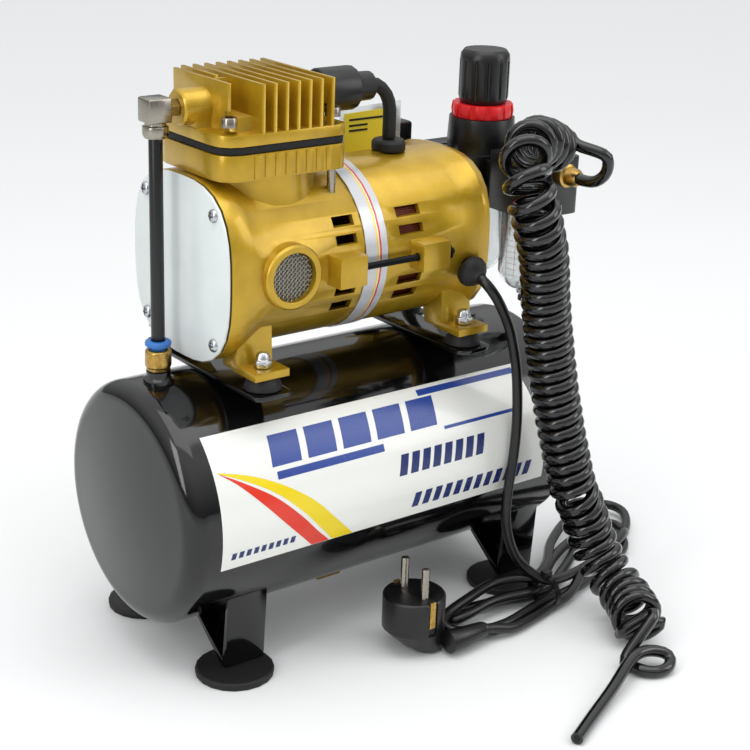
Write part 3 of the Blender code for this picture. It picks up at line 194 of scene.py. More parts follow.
FINISH = {
    # tank, legs and saddles: a near mirror that shows the soft boxes as long streaks
    "black": black_enamel(),
    # crankcase, motor housing and finned head: warm flake glitter under a clear gloss
    "gold": gold_enamel(),
    # front cover: a clean cool white with a broad soft sheen
    "white": white_enamel(),
    # mounts, feet, inlet hose and gland: matt black without a clear highlight
    "rubber": moulded("moulded_black_rubber", "#0A0A0A", 0.62, 0.0009, 0.00004),
    # gaskets and rows of the tag: dead black, a line between bright pieces
    # the same dead black is the disc on the hose's cut end: painted shade in place of its open bore
    "gasket": moulded("gasket_sheet_and_painted_bore_shade", "#060606", 0.75, 0.0006, 0.00004),
    # air set, inlet filter, pressure switch and tie: satin black, softer than the enamel
    "plastic": moulded("black_abs", "#070708", 0.34, 0.0008, 0.00002),
    # lock ring: the one strong red on the black unit
    "red": moulded("red_acetal", "#D4161C", 0.36, 0.0008, 0.00002),
    # release collar: a small clear blue accent
    "blue": moulded("blue_acetal", "#2B6BB4", 0.34, 0.0008, 0.00002),
    # air hose: shiny black, with a narrow highlight on every turn
    "hose": moulded("black_polyurethane_hose", "#060607", 0.16, 0.0030, 0.00001, Coat_Weight=0.3),
    # mains lead, plug, riser and delivery tube: a softer gloss than the hose
    "lead": moulded("black_soft_pvc", "#080809", 0.34, 0.0012, 0.00002),
    # cover screws and cap nuts: cool bright grey with small sharp glints
    "zinc": metal("bright_zinc_plate", "#B9BCC0", 0.24, 0.0006, 0.00001),
    # elbow, head screws and plug pins: warmer than the zinc
    "nickel": metal("nickel_plated_brass", "#9C968C", 0.24, 0.0012, 0.000003),
    # fittings, drain screw and earth clips: yellow metal, a little patchy
    "brass": metal("turned_brass", "#B5924E", 0.28, 0.0006, 0.00001, ("#A6833F", "#C4A25E", 0.003)),
    # filter behind the cloth: a flat grey-brown ground for the wires
    "felt": moulded("grey_filter_felt", "#7D766B", 0.9, 0.0006, 0.00005),
    # intake cloth: light wires that catch the light one by one
    "wire": metal("woven_steel_wire", "#A9A79C", 0.36),
    # clamp rods: dark metal that only shines at its edges
    "dark_steel": metal("blackened_steel", "#1C1C1E", 0.32, 0.0008, 0.00001),
    # piston and shaft: dull cast grey
    "alloy": metal("cast_alloy", "#A8A9AA", 0.45, 0.0009, 0.00004),
    # bowls: clear, with dark rims where they curve away
    "bowl": clear_plastic(),
    # stator behind the slots: reddish brown wires
    "copper": copper_core(),
    # trim band: silver film with its red and its yellow line
    "band": band_material(),
    # label: smooth white film with a soft gloss
    "label": moulded("white_vinyl_film", "#E4E5E0", 0.22, 0.0030, 0.000004, Coat_Weight=0.4),
    # print: strong blue blocks
    "blue_ink": moulded("blue_printing_ink", "#24408E", 0.24, 0.0030, 0.000004),
    # print: darker blue strokes
    "dark_ink": moulded("dark_blue_printing_ink", "#1D2B63", 0.26, 0.0030, 0.000004),
    # print: orange-red half of the swoosh
    "red_ink": moulded("red_printing_ink", "#D8341F", 0.24, 0.0030, 0.000004),
    # print: yellow half of the swoosh
    "yellow_ink": moulded("yellow_printing_ink", "#E6CC10", 0.24, 0.0030, 0.000004),
    # hang tag: matt yellow card
    "card": moulded("yellow_card", "#D9C426", 0.62, 0.0012, 0.00001),
    # scale on the bowl: pale red, as ink looks on clear plastic
    "scale_ink": moulded("faded_red_scale", "#B8585A", 0.4, 0.0030, 0.000004),
    # tag's sleeve: clear film that only shows by its glints
    "clear_film": moulded("clear_nylon", "#F2F4F4", 0.2, 0.004, 0.000004, Transmission_Weight=0.85),
}
SLOT_FINISH = {
    "black_paint": "black", "gold_paint": "gold", "white_paint": "white", "black_tube": "lead",
    "rubber": "rubber", "gasket_sheet": "gasket", "plated_steel": "zinc", "black_steel": "dark_steel",
    "mesh_steel": "wire", "lamination": "copper", "shaft_steel": "alloy", "rod_alloy": "alloy",
    "band_film": "band", "nickel": "nickel", "brass": "brass", "blue_plastic": "blue",
    "black_plastic": "plastic", "inlet_rubber": "rubber", "red_plastic": "red", "clear_plastic": "bowl",
    "hose_plastic": "hose", "lead_plastic": "lead",
}
SLOT_OF = {entry["node"]: entry["material_slot"] for entry in frame["record"]["subparts"]}
BODY_OF = {node: body for body, nodes in frame["record"]["behaviour"]["bodies"].items() for node in nodes}


# ---- making and finishing meshes ----------------------------------------------
def object_of(name, bm, finish, body="machine", smooth=35.0):
    """A finished piece: its mesh in place, its finish and the body that it rides on."""
    mesh = bpy.data.meshes.new(name)
    bmesh.ops.recalc_face_normals(bm, faces=bm.faces)
    bm.to_mesh(mesh)
    bm.free()
    obj = bpy.data.objects.new(name, mesh)
    bpy.context.scene.collection.objects.link(obj)
    shade(obj, smooth)
    if finish:
        mesh.materials.append(FINISH[finish] if isinstance(finish, str) else finish)
    if body:
        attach(obj, body)
    return obj


def shade(obj, angle):
    """Smooth shading with hard edges above an angle."""
    mesh = obj.data
    mesh.polygons.foreach_set("use_smooth", [True] * len(mesh.polygons))
    mesh.set_sharp_from_angle(angle=math.radians(angle))


def settled(obj):
    """The object with its modifiers applied, as a plain mesh at the origin."""
    bpy.context.view_layer.update()
    graph = bpy.context.evaluated_depsgraph_get()
    mesh = bpy.data.meshes.new_from_object(obj.evaluated_get(graph), depsgraph=graph)
    mesh.transform(obj.matrix_world)
    obj.modifiers.clear()
    obj.data = mesh
    obj.matrix_world = Matrix.Identity(4)
    return obj


def refined(node, edge=0.0004, angle=32.0, finish=None, smooth=38.0):
    """A copy of a CAD node with its edges eased as a casting's or moulding's are."""
    bm = bmesh.new()
    bm.from_mesh(frame["nodes"][node].data)
    bmesh.ops.remove_doubles(bm, verts=bm.verts, dist=1e-6)
    bmesh.ops.dissolve_limit(bm, angle_limit=math.radians(0.6), verts=bm.verts, edges=bm.edges)
    obj = object_of(node + "_look", bm, None, None, smooth)
    if edge:
        bevel = obj.modifiers.new("eased", "BEVEL")
        bevel.width = edge
        bevel.segments = 2
        bevel.limit_method = "ANGLE"
        bevel.angle_limit = math.radians(angle)
        bevel.harden_normals = False
        settled(obj)
        shade(obj, smooth)
    obj.data.materials.clear()
    obj.data.materials.append(FINISH[finish or SLOT_FINISH[SLOT_OF[node]]])
    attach(obj, BODY_OF[node])
    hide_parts(node)
    return obj


def side_axes(axis):
    """Two directions square to an axis and to each other."""
    along = Vector(axis).normalized()
    aside = Vector((0, 0, 1)) if abs(along.z) < 0.9 else Vector((1, 0, 0))
    u = along.cross(aside).normalized()
    return along, u, along.cross(u)


def turned_bm(profile, axis, base, steps=48):
    """A lathe shape: (radius, distance along the axis) pairs, from one end to the other."""
    bm = bmesh.new()
    along, u, v = side_axes(axis)
    base = Vector(base)
    rings = []
    for radius, distance in profile:
        if radius < 1e-9:
            rings.append([bm.verts.new(base + along * distance)])
            continue
        ring = []
        for k in range(steps):
            a = 2 * math.pi * k / steps
            ring.append(bm.verts.new(base + along * distance + (u * math.cos(a) + v * math.sin(a)) * radius))
        rings.append(ring)
    for low, high in zip(rings, rings[1:]):
        for k in range(steps):
            m = (k + 1) % steps
            if len(low) == 1 and len(high) == 1:
                continue
            if len(low) == 1:
                bm.faces.new((low[0], high[k], high[m]))
            elif len(high) == 1:
                bm.faces.new((low[k], low[m], high[0]))
            else:
                bm.faces.new((low[k], low[m], high[m], high[k]))
    return bm


def turned(name, profile, axis, base, finish, body="machine", steps=48, smooth=35.0):
    """A lathe shape as a finished piece."""
    return object_of(name, turned_bm(profile, axis, base, steps), finish, body, smooth)


# ---- camera, light and floor -----------------------------------------------------
def place_camera():
    """A long lens above the pump's end, looking down along the machine, with a slight roll."""
    cam = bpy.data.cameras.new("camera")
    cam.lens = 79.56
    cam.sensor_width = 36.0
    cam.clip_start = 0.01
    obj = bpy.data.objects.new("camera", cam)
    bpy.context.scene.collection.objects.link(obj)
    az, el, roll = math.radians(-38.07), math.radians(20.18), math.radians(2.0)
    back = Vector((math.sin(az) * math.cos(el), -math.cos(az) * math.cos(el), math.sin(el)))
    right = Vector((0, 0, 1)).cross(back).normalized()
    up = back.cross(right)
    right, up = (right * math.cos(roll) + up * math.sin(roll), up * math.cos(roll) - right * math.sin(roll))
    turn = Matrix((right, up, back)).transposed().to_4x4()
    obj.matrix_world = Matrix.Translation(at(-0.55156, -0.74498, 0.4852)) @ turn
    bpy.context.scene.camera = obj


def soft_light(name, spot, target, size, watts, colour="#FFFFFF"):
    """A rectangular soft box that points at a target."""
    lamp = bpy.data.lights.new(name, "AREA")
    lamp.shape = "RECTANGLE"
    lamp.size, lamp.size_y = size
    lamp.energy = watts
    lamp.color = linear(colour)[:3]
    obj = bpy.data.objects.new(name, lamp)
    bpy.context.scene.collection.objects.link(obj)
    obj.location = spot
    obj.rotation_euler = (Vector(target) - Vector(spot)).to_track_quat("-Z", "Y").to_euler()


def light_studio():
    """Bright tent overhead that darkens towards the horizon, and three soft boxes."""
    world = bpy.data.worlds.new("studio")
    world.use_nodes = True
    tree = world.node_tree
    way = add(tree, "ShaderNodeTexCoord").outputs["Generated"]
    height = add(tree, "ShaderNodeSeparateXYZ", {"Vector": way}).outputs["Z"]
    glow = add(tree, "ShaderNodeMapRange", {"Value": height, "From Min": 0.0, "From Max": 0.7,
                                            "To Min": 0.18, "To Max": 1.25})
    ground = tree.nodes["Background"]
    ground.inputs["Color"].default_value = linear("#F6F7F8")
    tree.links.new(glow.outputs["Result"], ground.inputs["Strength"])
    bpy.context.scene.world = world
    bpy.context.scene.view_settings.view_transform = "Standard"
    middle = (0.0, 0.0, 0.16)
    soft_light("top_box", (-0.10, -0.25, 1.35), middle, (1.3, 0.9), 6.0)
    soft_light("left_box", (-1.25, -0.35, 0.75), middle, (0.35, 1.0), 5.0)
    soft_light("right_box", (0.95, -0.95, 0.80), middle, (0.6, 0.9), 4.0)


def lay_floor():
    """Matt paper floor just under the feet."""
    bm = bmesh.new()
    bmesh.ops.create_grid(bm, x_segments=1, y_segments=1, size=40.0)
    mat, tree, shader, place = shader_of("studio_paper", "#E6E7E7", 0.75)
    grain(tree, shader, place, 0.004, 0.00001)
    floor = object_of("floor", bm, mat, None)
    floor.location.z = -0.0002


# ---- free hose and mains lead --------------------------------------------------------
def smooth_route(points, step):
    """Points at equal steps along a smooth curve through the given ones."""
    spots = [Vector(p) for p in points]
    dense = []
    for i in range(len(spots) - 1):
        p0, p1 = spots[max(i - 1, 0)], spots[i]
        p2, p3 = spots[i + 1], spots[min(i + 2, len(spots) - 1)]
        for k in range(40):
            t = k / 40
            dense.append(0.5 * ((2 * p1) + (p2 - p0) * t + (2 * p0 - 5 * p1 + 4 * p2 - p3) * t * t
                                + (3 * p1 - p0 - 3 * p2 + p3) * t ** 3))
    dense.append(spots[-1])
    reach = [0.0]
    for a, b in zip(dense, dense[1:]):
        reach.append(reach[-1] + (b - a).length)
    count = max(2, round(reach[-1] / step))
    route, j = [], 0
    for k in range(count + 1):
        goal = reach[-1] * k / count
        while j < len(reach) - 2 and reach[j + 1] < goal:
            j += 1
        span = max(reach[j + 1] - reach[j], 1e-12)
        route.append(dense[j].lerp(dense[j + 1], min(1.0, (goal - reach[j]) / span)))
    return route


def length_of(points):
    """Length along a line of points."""
    return sum((b - a).length for a, b in zip(points, points[1:]))


def round_line(name, points, radius, finish, sides=7):
    """A round line as one open curve with closed ends."""
    curve = bpy.data.curves.new(name, "CURVE")
    curve.dimensions = "3D"
    curve.bevel_depth = radius
    curve.bevel_resolution = sides
    curve.use_fill_caps = True
    line = curve.splines.new("POLY")
    line.points.add(len(points) - 1)
    for spot, point in zip(line.points, points):
        spot.co = (*point, 1.0)
    line.use_smooth = True
    curve.materials.append(FINISH[finish])
    obj = bpy.data.objects.new(name, curve)
    bpy.context.scene.collection.objects.link(obj)
    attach(obj, "machine")
    return obj


COIL_R = 0.0112        # from the coil's middle line to the middle of the hose
HOSE_R = 0.0035
LEAD_R = 0.0031
HOSE_STEP, LEAD_STEP = 0.0032, 0.0035      # spacing of the points along hose and lead
PITCH, PITCH_LIMIT = 0.00735, 0.0145       # from one turn to the next, and the most that a bend opens it
LOOSE, WIDE = 0.0012, 0.0014               # extra pitch at the fitting, extra radius at the far end
COIL_LINE = ((0.1190, -0.0610, 0.2720), (0.1085, -0.0655, 0.2806), (0.0955, -0.0700, 0.2868),
             (0.0842, -0.0750, 0.2905), (0.0730, -0.0805, 0.2907), (0.0640, -0.0865, 0.2872),
             (0.0595, -0.0925, 0.2800), (0.0590, -0.0970, 0.2700), (0.0620, -0.0990, 0.2590),
             (0.0668, -0.0985, 0.2460), (0.0740, -0.0960, 0.2300), (0.0820, -0.0920, 0.2003),
             (0.0893, -0.0910, 0.1691), (0.0952, -0.0930, 0.1379), (0.1016, -0.0970, 0.1064),
             (0.1079, -0.1010, 0.0803), (0.1159, -0.1018, 0.0660), (0.1196, -0.1027, 0.0550),
             (0.1235, -0.1060, 0.0430), (0.1255, -0.1115, 0.0330), (0.1270, -0.1190, 0.0250),
             (0.1266, -0.1285, 0.0200), (0.1225, -0.1410, 0.0175), (0.1140, -0.1550, 0.0170),
             (0.1040, -0.1670, 0.0165))
HOSE_LEAD = ((0.1290, -0.0648, 0.2610), (0.1290, -0.0705, 0.2610), (0.1298, -0.0768, 0.2622),
             (0.1312, -0.0822, 0.2668), (0.1308, -0.0848, 0.2735), (0.1270, -0.0846, 0.2798))
HOSE_TAIL = ((0.0873, -0.1731, 0.0060), (0.0876, -0.1827, 0.0040), (0.0926, -0.1901, 0.0036),
             (0.1008, -0.1925, 0.0040), (0.1077, -0.1893, 0.0055), (0.1083, -0.1853, 0.0080),
             (0.1030, -0.1818, 0.0100), (0.0959, -0.1798, 0.0112), (0.0875, -0.1803, 0.0112),
             (0.0763, -0.1846, 0.0105), (0.0550, -0.1941, 0.0065), (0.0274, -0.2062, 0.0040),
             (0.0075, -0.2160, 0.0037))
LEAD_LINE = ((0.0605, -0.0554, 0.2106), (0.0605, -0.0600, 0.2092), (0.0608, -0.0642, 0.2074),
             (0.0628, -0.0672, 0.2035), (0.0680, -0.0680, 0.1960), (0.0762, -0.0675, 0.1824),
             (0.0800, -0.0680, 0.1715),
             (0.0825, -0.0710, 0.1518), (0.0830, -0.0735, 0.1247), (0.0815, -0.0745, 0.1004),
             (0.0770, -0.0760, 0.0755), (0.0765, -0.0770, 0.0566), (0.0815, -0.0780, 0.0394),
             (0.0890, -0.0795, 0.0270), (0.0964, -0.0850, 0.0195), (0.1040, -0.0890, 0.0155),
             (0.1213, -0.0862, 0.0120), (0.1455, -0.0787, 0.0085), (0.1790, -0.0661, 0.0050),
             (0.2031, -0.0543, 0.0042), (0.2224, -0.0409, 0.0042), (0.2337, -0.0258, 0.0050),
             (0.2300, -0.0135, 0.0062), (0.2136, -0.0125, 0.0080), (0.1803, -0.0252, 0.0110),
             (0.1454, -0.0474, 0.0135), (0.1180, -0.0720, 0.0155), (0.0985, -0.0822, 0.0165),
             (0.0853, -0.0762, 0.0165), (0.0704, -0.0728, 0.0150), (0.0479, -0.0766, 0.0130),
             (0.0294, -0.0810, 0.0110), (0.0225, -0.0862, 0.0090), (0.0250, -0.0925, 0.0065),
             (0.0391, -0.0987, 0.0045), (0.0591, -0.1004, 0.0042), (0.0785, -0.0968, 0.0042),
             (0.0960, -0.0931, 0.0045), (0.1164, -0.0915, 0.0045), (0.1416, -0.0867, 0.0042),
             (0.1717, -0.0763, 0.0042), (0.1930, -0.0671, 0.0042), (0.2023, -0.0558, 0.0050),
             (0.1962, -0.0460, 0.0070), (0.1788, -0.0440, 0.0090), (0.1572, -0.0500, 0.0100),
             (0.1353, -0.0603, 0.0100), (0.1140, -0.0745, 0.0095), (0.0985, -0.0850, 0.0100),
             (0.0880, -0.0872, 0.0105), (0.0752, -0.0845, 0.0105), (0.0608, -0.0832, 0.0100),
             (0.0430, -0.0850, 0.0085), (0.0330, -0.0830, 0.0060), (0.0330, -0.0750, 0.0045),
             (0.0416, -0.0715, 0.0042), (0.0571, -0.0740, 0.0045), (0.0730, -0.0790, 0.0060),
             (0.0930, -0.0820, 0.0045), (0.1130, -0.0810, 0.0042), (0.1330, -0.0700, 0.0042),
             (0.1560, -0.0560, 0.0042), (0.1800, -0.0370, 0.0042), (0.2010, -0.0290, 0.0042),
             (0.2140, -0.0350, 0.0042), (0.2130, -0.0470, 0.0042), (0.1990, -0.0600, 0.0100),
             (0.1750, -0.0715, 0.0105), (0.1440, -0.0820, 0.0110), (0.1200, -0.0935, 0.0050),
             (0.1010, -0.0985, 0.0042), (0.0786, -0.1040, 0.0042), (0.0576, -0.1080, 0.0055),
             (0.0440, -0.1060, 0.0085), (0.0366, -0.1055, 0.0095))


def coil_turns(line, phase, stretch):
    """Hose turns wound round a middle line, wider apart where the line bends, so that they don't meet."""
    step = 0.0003
    spine = smooth_route(line, step)
    last = len(spine) - 1
    reach = 12
    side = Vector((0.3, 0.2, 1.0))
    turn, points = phase, []
    for i, spot in enumerate(spine):
        before, after = spine[max(i - reach, 0)], spine[min(i + reach, last)]
        ahead = (spine[min(i + 2, last)] - spine[max(i - 2, 0)]).normalized()
        side = (side - ahead * side.dot(ahead)).normalized()
        other = ahead.cross(side)
        bend = 0.0
        if reach <= i <= last - reach:
            bend = ((spot - before).normalized().cross((after - spot).normalized())).length / (step * reach)
        done = i / last
        radius = COIL_R + WIDE * max(0.0, (done - 0.72) / 0.28)
        loose = LOOSE * max(0.0, 1.0 - done / 0.30)
        pitch = min(PITCH_LIMIT, (PITCH + loose) / max(0.35, 1.0 - radius * bend * 0.9)) * stretch
        points.append(spot + (side * math.cos(turn) + other * math.sin(turn)) * radius)
        turn += 2 * math.pi * step / pitch
    return points


COIL_START = 40        # steps of the winding that are left out at the fitting
COIL_END = 40          # steps at the tail, where only three points of the winding are kept


def best_turns():
    """The winding whose first turn meets the fitting and whose last turn meets the tail most smoothly."""
    def entry(phase):
        turns = coil_turns(COIL_LINE[:8], phase, 1.0)
        first, after = turns[COIL_START], turns[COIL_START + 4]
        before = Vector(HOSE_LEAD[-1])
        reach = (first - before).length
        return (first - before).normalized().dot((after - first).normalized()) - 20.0 * abs(reach - 0.012)

    def leaving(turns):
        last = turns[-1]
        return (last - turns[-5]).normalized().dot((Vector(HOSE_TAIL[0]) - last).normalized())

    phase = max((math.pi * k / 18 for k in range(36)), key=entry)
    tries = [coil_turns(COIL_LINE, phase, 1.0 + 0.0015 * k) for k in range(-9, 10)]
    return max(tries, key=leaving)


def make_hose():
    """Coiled hose from its fitting to its plain cut end, one line all the way."""
    turns = best_turns()
    route = [Vector(p) for p in HOSE_LEAD] + turns[COIL_START:-COIL_END:4]
    route += [turns[-COIL_END], turns[-24], turns[-10]] + [Vector(p) for p in HOSE_TAIL]
    line = [p - MIDDLE for p in smooth_route(route, HOSE_STEP)]
    hose = round_line("air_hose", line, HOSE_R, "hose")
    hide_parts("hose_lead", "hose_coil", "hose_tail")
    end, ahead = line[-1], (line[-1] - line[-2]).normalized()
    # a dead-black disc just past the cut end: painted shade standing in for the hose's open bore
    turned("hose_cut_end", [(0.0, 0.0001), (0.0021, 0.0001)], ahead, end, "gasket", steps=24)
    return line


def make_lead(plug):
    """Mains lead: down from its gland, round the tied hank's turns, and into the plug."""
    line = [p - MIDDLE for p in smooth_route(LEAD_LINE, LEAD_STEP)]
    lead = round_line("mains_lead_line", line, LEAD_R, "lead")
    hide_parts("mains_lead", "lead_hank")
    return line


# ---- repeating pieces, by geometry nodes ---------------------------------------------
def group_of(name, inputs):
    """A geometry node group with its named inputs, and its input and output nodes."""
    tree = bpy.data.node_groups.new(name, "GeometryNodeTree")
    tree.interface.new_socket("Geometry", in_out="INPUT", socket_type="NodeSocketGeometry")
    for label, kind in inputs:
        tree.interface.new_socket(label, in_out="INPUT", socket_type="NodeSocket" + kind)
    tree.interface.new_socket("Geometry", in_out="OUTPUT", socket_type="NodeSocketGeometry")
    return tree, tree.nodes.new("NodeGroupInput"), tree.nodes.new("NodeGroupOutput")


def finish_group(tree, geometry, material, group_out):
    """Realised, with its material set, out of the group."""
    real = add(tree, "GeometryNodeRealizeInstances", {"Geometry": geometry})
    coat = add(tree, "GeometryNodeSetMaterial", {"Geometry": real.outputs["Geometry"], "Material": material})
    tree.links.new(coat.outputs["Geometry"], group_out.inputs["Geometry"])
    return tree


def copies_group():
    """Copies of a piece on given spots, all turned alike."""
    tree, given, out = group_of("copies_on_spots", (("Piece", "Object"), ("Turn", "Vector"),
                                                     ("Finish", "Material")))
    piece = add(tree, "GeometryNodeObjectInfo", {"Object": given.outputs["Piece"]},
                transform_space="ORIGINAL")
    turn = add(tree, "FunctionNodeEulerToRotation", {"Euler": given.outputs["Turn"]})
    on = add(tree, "GeometryNodeInstanceOnPoints", {"Points": given.outputs["Geometry"],
                                                     "Instance": piece.outputs["Geometry"],
                                                     "Rotation": turn.outputs["Rotation"]})
    return finish_group(tree, on.outputs["Instances"], given.outputs["Finish"], out)


def weave_group():
    """Woven wire cloth in the XY plane: wavy wires both ways, trimmed to a disc."""
    tree, given, out = group_of("woven_wire", (("Radius", "Float"), ("Pitch", "Float"), ("Wire", "Float"),
                                                ("Finish", "Material")))
    ways = []
    for across in (0, 1):
        line = add(tree, "GeometryNodeCurvePrimitiveLine", {"Start": (-0.0160, 0, 0), "End": (0.0160, 0, 0)})
        fine = add(tree, "GeometryNodeResampleCurve", {"Curve": line.outputs["Curve"], "Count": 150})
        rows = add(tree, "GeometryNodeMeshLine", {"Count": 15, "Start Location": (0, -0.0133, 0),
                                                   "Offset": (0, 0.0019, 0)})
        on = add(tree, "GeometryNodeInstanceOnPoints", {"Points": rows.outputs["Mesh"],
                                                         "Instance": fine.outputs["Curve"]})
        real = add(tree, "GeometryNodeRealizeInstances", {"Geometry": on.outputs["Instances"]})
        spot = add(tree, "GeometryNodeInputPosition")
        xyz = add(tree, "ShaderNodeSeparateXYZ", {"Vector": spot.outputs["Position"]})
        span_x = add(tree, "ShaderNodeMath", {0: xyz.outputs["X"], 1: given.outputs["Pitch"]},
                     operation="DIVIDE")
        span_y = add(tree, "ShaderNodeMath", {0: xyz.outputs["Y"], 1: given.outputs["Pitch"]},
                     operation="DIVIDE")
        both = add(tree, "ShaderNodeMath", {0: span_x.outputs["Value"], 1: span_y.outputs["Value"]},
                   operation="ADD")
        phase = add(tree, "ShaderNodeMath", {0: both.outputs["Value"], 1: math.pi}, operation="MULTIPLY")
        wave = add(tree, "ShaderNodeMath", {0: phase.outputs["Value"]}, operation="COSINE")
        lift = add(tree, "ShaderNodeMath", {0: wave.outputs["Value"], 1: given.outputs["Wire"]},
                   operation="MULTIPLY")
        side = add(tree, "ShaderNodeMath", {0: lift.outputs["Value"], 1: -1.0 if across else 1.0},
                   operation="MULTIPLY")
        up = add(tree, "ShaderNodeCombineXYZ", {"Z": side.outputs["Value"]})
        moved = add(tree, "GeometryNodeSetPosition", {"Geometry": real.outputs["Geometry"],
                                                       "Offset": up.outputs["Vector"]})
        flipped = add(tree, "GeometryNodeTransform", {"Geometry": moved.outputs["Geometry"],
                                                       "Rotation": (0, 0, across * math.pi / 2)})
        ways.append(flipped.outputs["Geometry"])
    join = add(tree, "GeometryNodeJoinGeometry")
    for way in ways:
        tree.links.new(way, join.inputs["Geometry"])
    spot = add(tree, "GeometryNodeInputPosition")
    far = add(tree, "ShaderNodeVectorMath", {0: spot.outputs["Position"]}, operation="LENGTH")
    outside = add(tree, "ShaderNodeMath", {0: far.outputs["Value"], 1: given.outputs["Radius"]},
                  operation="GREATER_THAN")
    kept = add(tree, "GeometryNodeDeleteGeometry", {"Geometry": join.outputs["Geometry"],
                                                     "Selection": outside.outputs["Value"]})
    ring = add(tree, "GeometryNodeCurvePrimitiveCircle", {"Radius": given.outputs["Wire"], "Resolution": 5})
    wires = add(tree, "GeometryNodeCurveToMesh", {"Curve": kept.outputs["Geometry"],
                                                   "Profile Curve": ring.outputs["Curve"]})
    return finish_group(tree, wires.outputs["Mesh"], given.outputs["Finish"], out)


COPIES, WEAVE = copies_group(), weave_group()


def grown(name, group, values, spots=((0, 0, 0),), place=None):
    """The plain mesh that a node group makes from spots, moved to its place."""
    mesh = bpy.data.meshes.new(name)
    mesh.from_pydata([tuple(p) for p in spots], [], [])
    obj = bpy.data.objects.new(name, mesh)
    bpy.context.scene.collection.objects.link(obj)
    mod = obj.modifiers.new("grown", "NODES")
    mod.node_group = group
    for item in group.interface.items_tree:
        if item.in_out == "INPUT" and item.name in values:
            mod[item.identifier] = values[item.name]
    settled(obj)
    if place is not None:
        obj.data.transform(place)
    shade(obj, 35.0)
    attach(obj, "machine")
    return obj


def removed(*objects):
    """Take out the patterns that copies were made from."""
    for obj in objects:
        bpy.data.objects.remove(obj, do_unlink=True)


def cut_by(obj, tool):
    """Cut one object out of another."""
    mod = obj.modifiers.new("cut", "BOOLEAN")
    mod.operation = "DIFFERENCE"
    mod.solver = "EXACT"
    mod.object = tool
    settled(obj)
    removed(tool)
    return obj


def block(name, low, high, finish=None, body=None):
    """A box between two corners."""
    bm = bmesh.new()
    bmesh.ops.create_cube(bm, size=1.0)
    low, high = Vector(low), Vector(high)
    for vert in bm.verts:
        vert.co = Vector([(low[i] + high[i]) / 2 + vert.co[i] * (high[i] - low[i]) for i in range(3)])
    return object_of(name, bm, finish, body)


# ---- screws and studs -----------------------------------------------------------------
def cross_screw(radius, high):
    """Pattern of a pan-head screw with a cross recess, pointing along +Z."""
    dome = [(0, high), (radius * 0.5, high * 0.95), (radius * 0.85, high * 0.68), (radius, high * 0.3),
            (radius, 0), (0, 0)]
    screw = turned("screw_pattern", dome[::-1], (0, 0, 1), (0, 0, 0), None, None, 32)
    for turn in (0, 1):
        long, wide = radius * 0.62, radius * 0.13
        size = (long, wide) if turn else (wide, long)
        cut_by(screw, block("recess", (-size[0], -size[1], high * 0.35), (size[0], size[1], high * 2)))
    return screw


def socket_screw(radius, high):
    """Pattern of a cap screw with a plain chamfered rim and a hexagon socket, pointing along +Z."""
    shape = [(0, 0), (radius, 0), (radius, high * 0.86), (radius * 0.9, high), (0, high)]
    screw = turned("screw_pattern", shape, (0, 0, 1), (0, 0, 0), None, None, 36)
    tool = turned("socket", [(0, high * 0.4), (radius * 0.58, high * 0.4), (radius * 0.58, high * 2),
                             (0, high * 2)], (0, 0, 1), (0, 0, 0), None, None, 6)
    return cut_by(screw, tool)


def fasteners():
    """Cover screws, head screws and the ends of the clamp rods."""
    flat = (0.0, -math.pi / 2, 0.0)
    screw = cross_screw(0.0037, 0.0024)
    spots = [at(COVER_X, side * 0.0347, SHAFT_Z + up * 0.0356) for side in (-1, 1) for up in (-1, 1)]
    grown("cover_screws", COPIES, {"Piece": screw, "Turn": flat, "Finish": FINISH["zinc"]}, spots)
    removed(screw)
    screw = socket_screw(0.00435, 0.0050)
    spots = [at(x, side * y, 0.3070) for x, y in ((-0.0905, 0.0265), (STUD_X, STUD_Y)) for side in (-1, 1)]
    grown("head_screws", COPIES, {"Piece": screw, "Turn": (0, 0, 0), "Finish": FINISH["nickel"]}, spots)
    removed(screw)
    for side in (-1, 1):
        turned("head_stud_" + str(side),
               [(0, 0), (0.0021, 0), (0.0024, 0.0005), (0.0024, 0.0160), (0, 0.0160)],
               (0, 0, 1), at(STUD_X, side * STUD_Y, 0.2632), "nickel", steps=24)


def make_fitting():
    """Turned outlet fitting with its barb for the air hose."""
    shape = [(0, 0), (0.0068, 0), (0.0070, 0.0003), (0.0070, 0.0058), (0.0055, 0.0064), (0.0055, 0.0120),
             (0.0040, 0.0150), (0, 0.0150)]
    fitting = turned("hose_fitting_look", shape, (0, -1, 0), at(UNIT_X, -0.0493, 0.2610), "brass", steps=40)
    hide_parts("hose_fitting")


def make_mesh():
    """Woven wire cloth over the intake."""
    turn = Matrix.Translation(at(INTAKE_X, -0.0488, SHAFT_Z)) @ Matrix.Rotation(math.pi / 2, 4, "X")
    turn = turn @ Matrix.Rotation(math.pi / 4, 4, "Z")
    values = {"Radius": 0.0136, "Pitch": 0.0019, "Wire": 0.00034, "Finish": FINISH["wire"]}
    grown("intake_cloth", WEAVE, values, place=turn)
    rim = [(0.0137, 0.0165), (0.0137, 0.0228), (0.0141, 0.0231), (0.0168, 0.0231), (0.0179, 0.0221),
           (0.0181, 0.0216), (0.0181, 0.0060), (0.0137, 0.0165)]
    bm = turned_bm(rim, (0, -1, 0), at(INTAKE_X, -0.0300, SHAFT_Z + 0.0004), 72)
    bmesh.ops.remove_doubles(bm, verts=bm.verts, dist=1e-7)
    object_of("intake_rim", bm, "gold")


